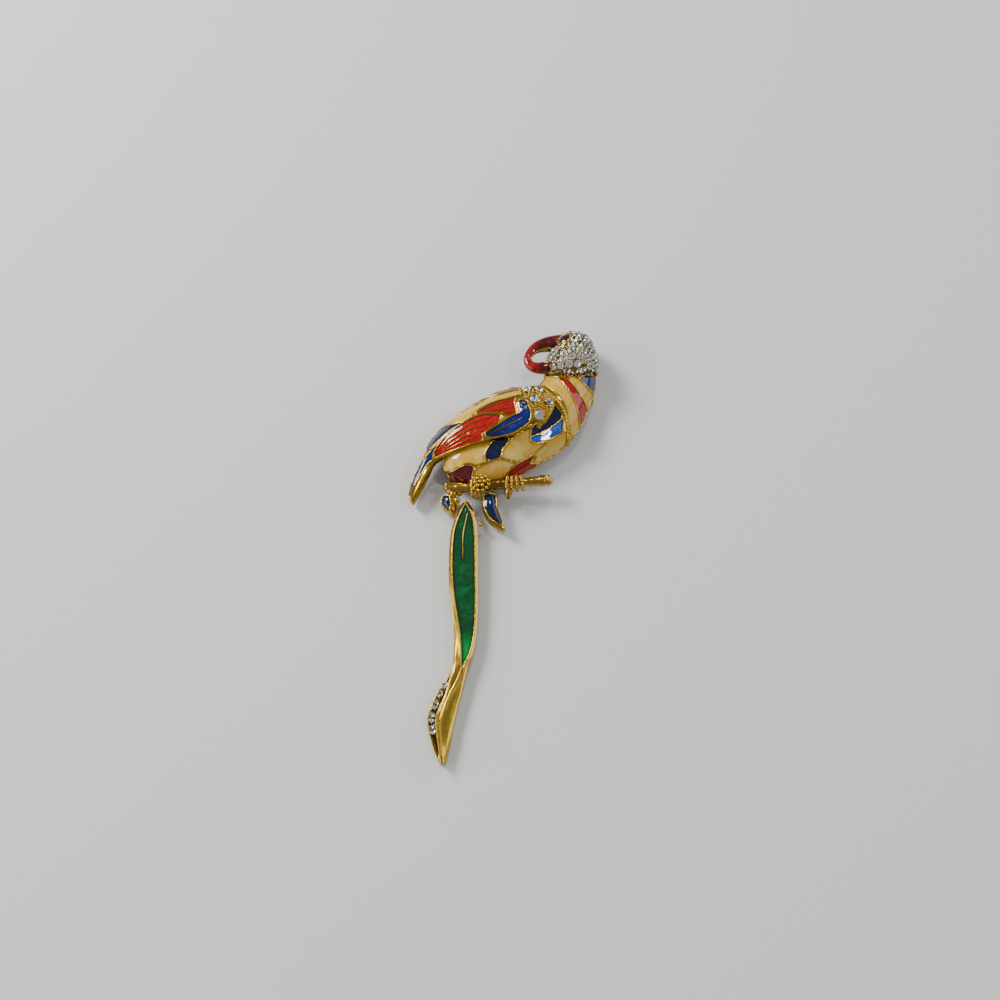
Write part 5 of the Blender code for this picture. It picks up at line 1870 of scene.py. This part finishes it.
@dataclass
class Head:
    """The domed head, paved with small stones around the eye."""

    form: Form
    stone_radius: float = 0.90 * MM
    pitch: float = 1.88 * MM
    small: float = 0.52 * MM
    prong: float = 0.24 * MM
    lift: float = 0.06 * MM
    seat: float = 0.85 * MM
    wall: float = 1.2 * MM
    first_row: float = 0.66
    last_row: float = 6.45
    edge: float = 0.91

    def eye_face(self) -> EnamelledForm:
        """The gold around the eye.

        Returns:
            The face, with the eye as its one cell.
        """
        return EnamelledForm(
            self.form, (EYE_CELL,), spacing=0.12 * MM, depth=0.5 * MM, thread=0.3 * MM,
            thread_width=0.3 * MM, dip=0.0,
        )

    def net(self) -> tuple[Spots, np.ndarray]:
        """A net of places over the dome, and which lie clear of the eye and the beak.

        Returns:
            The places, and which of them are free.
        """
        rows, sides = np.meshgrid(
            np.arange(self.first_row, self.last_row, 0.05), np.arange(-self.edge, self.edge, 0.02)
        )
        spots = self.form.spots(rows.ravel(), sides.ravel())
        eye = EYE_CELL.reach(self.form, spots)
        beak = Beak(self.form.plan)
        free = eye < -0.80 * self.stone_radius - 0.3 * MM
        for along, across, share in smooth_line(beak.path, 4):
            centre = np.array(self.form.plan.at(along, across, beak.height))
            away = np.linalg.norm(spots.points - centre, axis=1)
            free &= away > beak.radius * share + 0.7 * self.stone_radius
        return spots, free

    def places(self) -> Spots:
        """Pack stones over the dome."""
        spots, free = self.net()
        return packed(spots, free, self.pitch, self.form.spot(3.0, -0.05).points[0])

    def fillers(self, stones: Spots) -> Spots:
        """Pack smaller stones into the gaps that the packing has left.

        Args:
            stones: The places of the large stones.

        Returns:
            The places of the small ones.
        """
        spots, free = self.net()
        for point in stones.points:
            away = np.linalg.norm(spots.points - point, axis=1)
            free &= away > 0.97 * (self.stone_radius + self.small)
        return packed(spots, free, 2.0 * self.small, stones.points[0])

    def prong_places(self, stones: Spots) -> list[Vector]:
        """The middles of the gaps between three neighbouring stones.

        Args:
            stones: The places of the large stones.

        Returns:
            The places of the prongs.
        """
        points = stones.points
        count = len(points)
        away = np.linalg.norm(points[:, None] - points[None], axis=2)
        close = away < 1.45 * self.pitch
        found: list[Vector] = []
        for a in range(count):
            for b in range(a + 1, count):
                for c in range(b + 1, count):
                    if close[a, b] and close[b, c] and close[a, c]:
                        normal = stones.normals[[a, b, c]].mean(axis=0)
                        middle = points[[a, b, c]].mean(axis=0) + normal * 0.16 * MM
                        place = Vector(middle)
                        if all((place - other).length > 0.55 * MM for other in found):
                            found.append(place)
        return found

    def dome(self, face: EnamelledForm, middles: np.ndarray, radii: Sequence[float]) -> None:
        """Model the dome with a seat below each stone.

        Args:
            face: The gold around the eye.
            middles: The middles of the stones.
            radii: Their radii.
        """

        def height(spots: Spots) -> np.ndarray:
            """The gold around the eye, with a deep seat below each stone.

            Args:
                spots: Spots on the form.

            Returns:
                A height for each spot.
            """
            sunk = face.height(spots)
            for point, radius in zip(middles, radii):
                away = np.linalg.norm(spots.points - point, axis=1)
                sunk -= self.seat * (1 - step_up(away, 0.72 * radius, 0.96 * radius))
            return np.maximum(sunk, -self.seat)

        def hollow(spots: Spots) -> np.ndarray:
            """Shadowed gold between the stones and bright gold on the lip."""
            near_eye = step_up(EYE_CELL.reach(self.form, spots), -0.6 * MM, -0.35 * MM)
            return 0.6 * step_up(spots.rows, 0.4, 0.6) * (1 - near_eye)

        inside = partial(self.form.inner, wall=self.wall)
        dome = closed_skin("head_dome", self.form, (130, 110), height, inside, hollow)
        finish_piece(dome, "stone_set_metal", ["head_pave"], Finish.GOLD)

    def build(self) -> None:
        """Model the dome, its stones, their prongs, the eye and the beak."""
        face = self.eye_face()
        stones = self.places()
        fillers = self.fillers(stones)
        groups = (stones, fillers)
        radii = [self.stone_radius] * len(stones.rows) + [self.small] * len(fillers.rows)
        self.dome(face, np.concatenate([group.points for group in groups]), radii)
        centres = [Vector(point) for group in groups for point in group.raised(self.lift)]
        axes = [Vector(normal) for group in groups for normal in group.normals]
        gems = CUT.set_many("head_stones", centres, axes, radii)
        finish_piece(gems, "stone_set_metal", [], Finish.GLASS, Finish.FOIL)
        prongs = self.prong_places(stones)
        grains = beads("head_prongs", prongs, [self.prong] * len(prongs))
        finish_piece(grains, "stone_set_metal", [], Finish.GOLD)
        face.enamel()
        face.wires("eye_bezel")
        Beak(self.form.plan).build()


@dataclass
class StoneRow:
    """Single stones on a form, each held by four prongs."""

    form: Form
    prefix: str
    places: tuple[Triple, ...]
    radius: float
    lift: float = 0.12 * MM
    prong: float = 0.24 * MM
    prong_count: int = 4
    prong_reach: float = 1.06
    prong_lift: float = 0.14 * MM

    def build(self) -> None:
        """Cut each stone and set its prongs."""
        prongs: list[Vector] = []
        for number, (row, side, share) in enumerate(self.places, start=1):
            spot = self.form.spot(row, side)
            axis = Vector(spot.normals[0])
            centre = Vector(spot.points[0]) + axis * self.lift
            radius = self.radius * share
            gem = CUT.set_many(f"{self.prefix}_gem_{number}", [centre], [axis], [radius])
            finish_piece(
                gem, "clear_stone", [f"{self.prefix}_stone_{number}"], Finish.GLASS, Finish.FOIL
            )
            prongs += around_stone(
                centre, axis, radius * self.prong_reach, self.prong_count, number * 0.7,
                self.prong_lift,
            )
        grains = beads(f"{self.prefix}_prongs", prongs, [self.prong] * len(prongs))
        finish_gold(grains)


@dataclass
class Shoulder:
    """The leaf-shaped setting of the shoulder with a granulated edge."""

    form: Form
    depth: float = 3.4 * MM
    # The row, side and share of the stones' radius of each seat.
    seats: tuple[Triple, ...] = (
        (4.20, 0.36, 1.0), (3.85, -0.36, 1.0), (2.62, 0.10, 1.08), (2.30, 0.66, 0.95),
        (2.15, -0.62, 1.0), (0.92, 0.00, 1.05),
    )
    grain: float = 0.29 * MM
    stones: float = 1.06 * MM
    seat: float = 0.95 * MM

    def build(self) -> None:
        """Model the boss, its granulated edge and its stones."""
        middles = [self.form.spot(row, side).points[0] for row, side, _ in self.seats]

        def height(spots: Spots) -> np.ndarray:
            """A round seat below each stone and a swell at the edge.

            Args:
                spots: Spots on the form.

            Returns:
                A height for each spot.
            """
            face = 0.15 * MM * step_up(np.abs(spots.sides), 0.75, 0.95)
            for middle, (_, _, share) in zip(middles, self.seats):
                away = np.linalg.norm(spots.points - middle, axis=1)
                reach = share * self.stones
                face -= self.seat * (1 - step_up(away, reach * 0.75, reach))
            return face

        def hollow(spots: Spots) -> np.ndarray:
            """Shadow in the seats."""
            return np.clip(0.25 - height(spots) / (0.5 * MM), 0, 1)

        def back(spots: Spots) -> np.ndarray:
            """The flat-sided root of the boss."""
            return spots.points - np.array([0.0, 0.0, self.depth])

        boss = closed_skin(
            "shoulder_boss", self.form, (100, 70), height, back, hollow
        )
        finish_gold(boss, "shoulder_setting")
        front = [(row, -0.97) for row in np.linspace(0, self.form.last_row, 12)]
        rear = [(row, 0.97) for row in np.linspace(self.form.last_row, 0, 12)]
        edge = self.form.line(front + rear, 4, closed=True)
        grains = evenly(edge.raised(0.05 * MM), 2.05 * self.grain)
        rows, sides = np.meshgrid(np.arange(0.1, 4.95, 0.04), np.arange(-0.86, 0.87, 0.04))
        spots = self.form.spots(rows.ravel(), sides.ravel())
        free = np.ones(len(spots.rows), dtype=bool)
        for middle, (_, _, share) in zip(middles, self.seats):
            away = np.linalg.norm(spots.points - middle, axis=1)
            free &= away > share * self.stones + 0.6 * self.grain
        fill = packed(spots, free, 2.0 * self.grain, spots.points[0])
        grains += [Vector(point) for point in fill.raised(0.04 * MM)]
        band = beads("shoulder_granules", grains, [self.grain] * len(grains))
        finish_gold(band)
        StoneRow(self.form, "shoulder", self.seats, self.stones).build()


@dataclass
class Perch:
    """The branch with both claws, whose toes are chains of gold grains."""

    plan: Plan
    # Shares of the plan's length and width, and of the radius.
    path: tuple[Triple, ...] = (
        (-0.027, -0.226, 0.60), (0.013, -0.314, 0.95), (0.087, -0.425, 1.00),
        (0.172, -0.547, 1.00), (0.247, -0.658, 0.95), (0.311, -0.760, 0.80),
        (0.363, -0.841, 1.05), (0.387, -0.886, 0.95),
    )
    stub: tuple[Triple, ...] = (
        (0.223, -0.642, 0.70), (0.198, -0.717, 0.70), (0.180, -0.772, 0.45),
    )
    radius: float = 1.2 * MM
    height: float = 4.5 * MM
    toe: float = 0.38 * MM
    boss_grain: float = 0.48 * MM
    lip_radius: float = 0.55 * MM
    lip: tuple[Place, Place] = ((-0.022, -0.215), (0.050, -0.352))
    # Shares of the plan's length and width, then the height and the radius in millimetres.
    balls: tuple[tuple[float, float, float, float], ...] = (
        (-0.023, -0.3408, 4.3, 0.85), (-0.0263, -0.434, 4.2, 0.80), (-0.0705, -0.4575, 3.5, 0.62),
        (0.004, -0.372, 4.0, 0.70), (-0.0015, -0.8269, 2.8, 0.50),
    )
    # Offsets from the fork in millimetres, and the radius in toes.
    knobs: tuple[tuple[float, float, float, float], ...] = (
        (0.1, 0.55, 0.3, 1.9), (0.5, -0.35, 0.2, 1.7),
    )
    left_claw: Place = (0.103, -0.440)
    right_claw: Place = (0.249, -0.670)

    def toes(self, claw: Place, columns: tuple[float, ...], reach: float) -> list[Vector]:
        """Places of the grains of one claw's toes, which grip the branch from above.

        Args:
            claw: Where the claw sits.
            columns: Where each toe lies across the claw.
            reach: How much farther down the toes reach.

        Returns:
            The places.
        """
        centre = self.plan.at(*claw, self.height)
        grains: list[Vector] = []
        for spread in columns:
            line = [
                (1.15 * spread, 1.0, 1.05), (1.30 * spread, 0.0, 1.35), (1.40 * spread, -0.9, 1.05),
                (1.45 * spread, -1.45 - 0.7 * reach, 0.2), (1.45 * spread, -1.5 - reach, -0.6),
            ]
            smooth = smooth_line([tuple(centre + Vector(point) * MM) for point in line], 6)
            grains += evenly(smooth, 1.75 * self.toe)
        return grains

    def rosette(self, claw: Place) -> list[Vector]:
        """A round cluster of grains over the left claw.

        Args:
            claw: Where the claw sits.

        Returns:
            The places of the grains.
        """
        centre = self.plan.at(*claw, self.height) + Vector((0.33, 0.1, 1.55)) * MM
        grains = [centre + Vector((0, 0, 0.30)) * MM]
        for count, reach, drop in ((6, 0.98, 0.12), (12, 1.88, -0.40)):
            for index in range(count):
                angle = 2 * math.pi * (index + 0.5 * (count == 12)) / count
                grains.append(
                    centre + Vector((reach * math.cos(angle), reach * math.sin(angle), drop)) * MM
                )
        return grains

    def lip_bar(self) -> None:
        """Model the bar across the left end of the branch."""
        ends = [self.plan.at(*place, self.height + 0.5 * MM) for place in self.lip]
        middle = (ends[0] + ends[1]) / 2 + Vector((0.0, 0.12, 0.12)) * MM
        line = smooth_line([tuple(place) for place in (ends[0], middle, ends[1])], 8)
        centres = [Vector(point) for point in line]
        finish_gold(swept("perch_lip", centres, [self.lip_radius] * len(line), 16, 0.8))

    def branch(self) -> None:
        """Model the knotty branch, whose gold is darker between the claws."""
        bars = []
        for name, path in (("branch", self.path), ("stub", self.stub)):
            line = smooth_line(path, 8)
            centres = [self.plan.at(along, across, self.height) for along, across, _ in line]
            knots = np.arange(len(line))
            radii = self.radius * line[:, 2] * (
                1 + 0.07 * np.sin(1.9 * knots) + 0.05 * np.sin(0.8 * knots)
            )
            bars.append(swept(name, centres, radii, 20, 0.85))
        branch = joined("perch_branch", bars)
        smooth_piece(branch, 60.0)
        left, right = self.plan.at(*self.left_claw), self.plan.at(*self.right_claw)
        # The gold is made darker between the claws through the stored hollow value.
        share = (get_corners(branch)[:, 0] - left.x) / (right.x - left.x)
        between_claws = step_up(share, -0.1, 0.2) * (1 - step_up(share, 0.8, 1.1))
        set_attribute(branch, "hollow", 0.55 * between_claws)
        finish_piece(branch, "gold_tone_metal", ["perch"], Finish.DARK_GOLD)

    def claws(self) -> Piece:
        """Model the toes, the rosette and the two knobs of the fork.

        Returns:
            All their grains as one piece.
        """
        toes = self.toes(self.left_claw, (-1.1, -0.55, 0.0, 0.6), 0.9)
        toes += self.toes(self.right_claw, (-1.25, -0.42, 0.42, 1.25), 0.0)
        large = self.rosette(self.left_claw)
        fork = self.plan.at(*self.path[-1][:2], self.height)
        knobs = [fork + Vector(offset) * MM for *offset, _ in self.knobs]
        sizes = [self.toe] * len(toes) + [self.boss_grain] * len(large)
        sizes += [share * self.toe for *_, share in self.knobs]
        return beads("claw_grains", toes + large + knobs, sizes)

    def build(self) -> None:
        """Model the branch, its knobs and the claws."""
        self.lip_bar()
        self.branch()
        claws = self.claws()
        places = [self.plan.at(along, across, up * MM) for along, across, up, _ in self.balls]
        finish_gold(beads("leaf_balls", places, [radius * MM for *_, radius in self.balls]))
        finish_gold(claws)


@dataclass
class Leaf:
    """A small gold leaf with one enamelled cell."""

    name: str
    face: EnamelledForm
    counts: tuple[int, int]

    def build(self) -> None:
        """Model the leaf and its enamel."""
        def back(spots: Spots) -> np.ndarray:
            """The leaf's flat foot.

            Args:
                spots: Spots on the form.

            Returns:
                The point of the back below each spot.
            """
            low = spots.points.copy()
            low[:, 2] = self.face.form.rim
            return low

        leaf = closed_skin(
            f"{self.name}_gold", self.face.form, self.counts, self.face.height, back,
            self.face.hollow,
        )
        finish_gold(leaf, f"{self.name}_setting")
        self.face.enamel()
        self.face.wires(f"{self.name}_wires")


@dataclass
class Tail(EnamelledForm):
    """The long ribbon tail: green enamel above, bright ridges and a stone channel below."""

    top_foot: float = 1.4 * MM
    ridges: tuple[Outline, ...] = (
        ((5.60, -1.0), (6.60, -0.92), (7.74, -0.66), (8.76, -0.16), (9.24, -0.12), (9.84, -0.25),
         (10.38, -0.25), (10.8, -0.20), (12.0, -0.10)),
        ((7.8, 0.22), (8.46, 0.24), (9.06, 0.12), (9.6, 0.05), (10.2, -0.04), (10.8, -0.02),
         (12.0, 0.10)),
    )
    stones: tuple[Triple, ...] = (
        (8.20, -0.60, 0.60), (8.60, -0.62, 0.88), (8.98, -0.64, 0.95), (9.45, -0.64, 1.05),
        (10.00, -0.62, 1.12), (10.52, -0.60, 1.05),
    )
    ridge_height: float = 0.16 * MM
    ridge_width: float = 0.50 * MM
    ridge_radius: float = 0.20 * MM
    channel_depth: float = 0.75 * MM
    groove_depth: float = 0.22 * MM

    def relief(self, spots: Spots) -> np.ndarray:
        """The face with its rounded rims, ridges and channel.

        Args:
            spots: Spots on the form.

        Returns:
            A height for each spot.
        """
        face = self.height(spots)
        for ridge in self.ridges:
            line = self.form.line(ridge)
            away = distance_to_line(spots.points, line.points, False)
            grown = step_up(spots.rows, ridge[0][0], ridge[0][0] + 1.6)
            face += grown * self.ridge_height * np.exp(-((away / self.ridge_width) ** 2))
        left, right = (self.form.line(ridge) for ridge in self.ridges)
        rows = spots.rows
        bank = np.interp(rows, left.rows, left.sides)
        channel = step_up(rows, 8.0, 8.5) * (1 - step_up(rows, 11.4, 11.9))
        sunk = step_up(bank - spots.sides, 0.10, 0.30) * (1 - step_up(-spots.sides, 0.86, 0.97))
        face -= self.channel_depth * channel * sunk
        groove = step_up(rows, 8.2, 8.7) * (1 - step_up(rows, 11.2, 11.7))
        between = step_up(spots.sides - bank, 0.0, 0.1)
        between *= 1 - step_up(spots.sides - np.interp(rows, right.rows, right.sides), -0.1, 0.0)
        return face - self.groove_depth * groove * between

    def shade(self, spots: Spots) -> np.ndarray:
        """Shadow in the recess and the channel."""
        return np.clip(-self.relief(spots) / (0.6 * MM), 0, 1)

    def underside(self, spots: Spots) -> np.ndarray:
        """The flat back, which lies on the surface below but for its top.

        Args:
            spots: Spots on the form.

        Returns:
            The point of the back below each spot.
        """
        low = spots.points.copy()
        share = np.maximum(1.0 - spots.rows / (0.75 * self.form.last_row), 0.0)
        low[:, 2] = self.top_foot * share
        return low

    def build(self) -> None:
        """Model the ribbon, its enamel and its stones."""
        ribbon = closed_skin(
            "tail_gold", self.form, (520, 80), self.relief, self.underside, self.shade
        )
        finish_gold(ribbon, "tail_casting")
        self.enamel()
        self.wires("tail_wires")
        bars = []
        for ridge in self.ridges:
            centres = evenly(self.form.line(ridge).raised(0.10 * MM), 0.25 * MM)
            radii = self.ridge_radius * np.minimum(0.25 + 0.05 * np.arange(len(centres)), 1.0)
            bars.append(swept("ridge", centres, radii, 12))
        crests = joined("tail_ridges", bars)
        smooth_piece(crests, 60.0)
        finish_gold(crests)
        StoneRow(
            self.form, "tail", self.stones, radius=0.90 * MM, lift=-0.1 * MM, prong=0.2 * MM
        ).build()


@dataclass
class PinBack:
    """The plain bar with its two blocks that lies behind the body."""

    plan: Plan
    radius: float = 0.5 * MM
    block: float = 3.8 * MM
    hinge: float = 2.8 * MM
    drawn_in: float = 0.02
    top: float = 2.3 * MM
    bevel: float = 0.7 * MM

    def build(self) -> None:
        """Model the blocks and the bar and join them."""
        ends = [self.plan.at(*place, self.top / 2) for place in (LAYOUT.hinge, LAYOUT.catch)]
        ends[0] = ends[0].lerp(ends[1], self.drawn_in)
        pieces = []
        for end, block_size in zip(ends, (self.hinge, self.block)):
            deselect_all()
            bpy.ops.mesh.primitive_cube_add(size=1.0, location=end)
            block = bpy.context.object
            block.scale = (block_size, block_size, self.top)
            bpy.ops.object.transform_apply(location=True, rotation=True, scale=True)
            bevel = block.modifiers.new("softened edges", "BEVEL")
            bevel.width = self.bevel
            bevel.segments = 4
            apply_all(block)
            pieces.append(block)
        count = 24
        centres = [ends[0].lerp(ends[1], index / count) for index in range(count + 1)]
        pieces.append(swept("pin_bar", centres, [self.radius] * len(centres), 16))
        pin = joined("pin_and_blocks", pieces)
        smooth_piece(pin, 40.0)
        finish_piece(pin, "pin_metal", ["pin_back"], Finish.PIN_GOLD)


@dataclass(frozen=True)
class Lamp:
    """A rectangular light: where it hangs, its size and its power in watts."""

    name: str
    place: Triple
    size: Place
    power: float

    def hang(self, aim: Vector) -> None:
        """Hang the light and turn it to a point.

        Args:
            aim: The point.
        """
        light = bpy.data.lights.new(self.name, "AREA")
        light.shape = "RECTANGLE"
        light.size, light.size_y = self.size
        light.energy = self.power
        lamp = bpy.data.objects.new(self.name, light)
        bpy.context.scene.collection.objects.link(lamp)
        lamp.location = self.place
        lamp.rotation_euler = (aim - Vector(self.place)).to_track_quat("-Z", "Y").to_euler()


@dataclass(frozen=True)
class Studio:
    """A plain pale floor, light from above and the camera of the photograph.

    The two sparks are small, so they give the crisp points of light that the photo shows on
    enamel and beads, while the large lights give the soft ones.
    """

    floor_colour: str = "#D2D2D0"
    mottle_mm: float = 25.0
    sky_colour: str = "#D8DCE0"
    sky_strength: float = 0.46
    lamps: tuple[Lamp, ...] = (
        Lamp("key", (-0.54, 0.44, 0.52), (0.32, 0.28), 9.0),
        Lamp("fill", (0.80, 0.30, 0.36), (1.10, 0.50), 3.4),
        Lamp("side", (-0.66, -0.10, 0.26), (0.60, 0.30), 1.8),
        Lamp("spark above", (0.12, 0.42, 0.74), (0.07, 0.07), 1.1),
        Lamp("spark right", (0.46, -0.20, 0.62), (0.06, 0.06), 0.9),
    )
    camera_offset: Triple = (12.743 * MM, -88.378 * MM, 171.264 * MM)
    tilt: float = 25.69
    roll: float = 3.93
    lens: float = 30.6

    def floor_material(self) -> bpy.types.Material:
        """Matt pale card with the faintest mottling.

        Returns:
            The material.
        """
        material, tree = new_material("Pale matt card")
        mottle = pattern(tree, Pattern.NOISE, self.mottle_mm)
        surface(tree, {
            "Base Color": linear(self.floor_colour),
            "Roughness": ramp(tree, mottle.outputs["Fac"], (0.0, 1.0), (0.78, 0.86)),
        })
        return material

    def camera(self) -> None:
        """Set up the camera at the place and angle of the photo."""
        eye = bpy.data.cameras.new("photo camera")
        eye.lens = self.lens
        eye.sensor_width = 36.0
        eye.clip_start = 0.005
        camera = bpy.data.objects.new("photo camera", eye)
        bpy.context.scene.collection.objects.link(camera)
        x, y, z = self.camera_offset
        place = Matrix.Translation((TORSO.x + x, TORSO.y + y, z))
        turn = Matrix.Rotation(math.radians(self.tilt), 4, "X")
        twist = Matrix.Rotation(-math.radians(self.roll), 4, "Z")
        camera.matrix_world = place @ turn @ twist
        bpy.context.scene.camera = camera

    def build(self) -> None:
        """Set up the floor, the lights, the sky and the camera."""
        deselect_all()
        bpy.ops.mesh.primitive_plane_add(size=4.0, location=(0.0, 0.0, 0.0))
        floor = bpy.context.object
        floor.name = "floor"
        floor.data.materials.append(self.floor_material())
        floor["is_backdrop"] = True
        for lamp in self.lamps:
            lamp.hang(Vector((0.0, 0.0, 0.004)))
        world = bpy.data.worlds.new("pale room")
        world.use_nodes = True
        sky = world.node_tree.nodes["Background"]
        sky.inputs["Color"].default_value = linear(self.sky_colour)
        sky.inputs["Strength"].default_value = self.sky_strength
        bpy.context.scene.world = world
        self.camera()


def plain(box: object) -> float | list:
    """A bounding box as plain lists of numbers.

    Args:
        box: The box, or a part of it.

    Returns:
        Lists in place of its vectors, or one number.
    """
    if isinstance(box, (int, float, np.floating)):
        return float(box)
    return [plain(item) for item in box]


def main() -> None:
    """Build every part of the brooch, then the studio around it."""
    logging.basicConfig(level=logging.INFO, format="%(message)s")
    Torso(TORSO_FORM, TORSO_CELLS).build()
    Wing(WING_FORM, WING_CELLS).build()
    Head(HEAD_FORM).build()
    Shoulder(SHOULDER_FORM).build()
    Perch(TORSO).build()
    Tail(TAIL_FORM, (TAIL_CELL,), spacing=0.14 * MM, depth=0.95 * MM, dip=0.12 * MM).build()
    Leaf("leaf_left", EnamelledForm(LEFT_LEAF_FORM, (LEFT_LEAF_CELL,)), (60, 44)).build()
    Leaf("leaf_right", EnamelledForm(RIGHT_LEAF_FORM, (RIGHT_LEAF_CELL,)), (90, 40)).build()
    PinBack(TORSO).build()
    Studio().build()
    {"cad": plain(CAD_BOX), "visual": plain(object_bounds())}


if __name__ == "__main__":
    main()
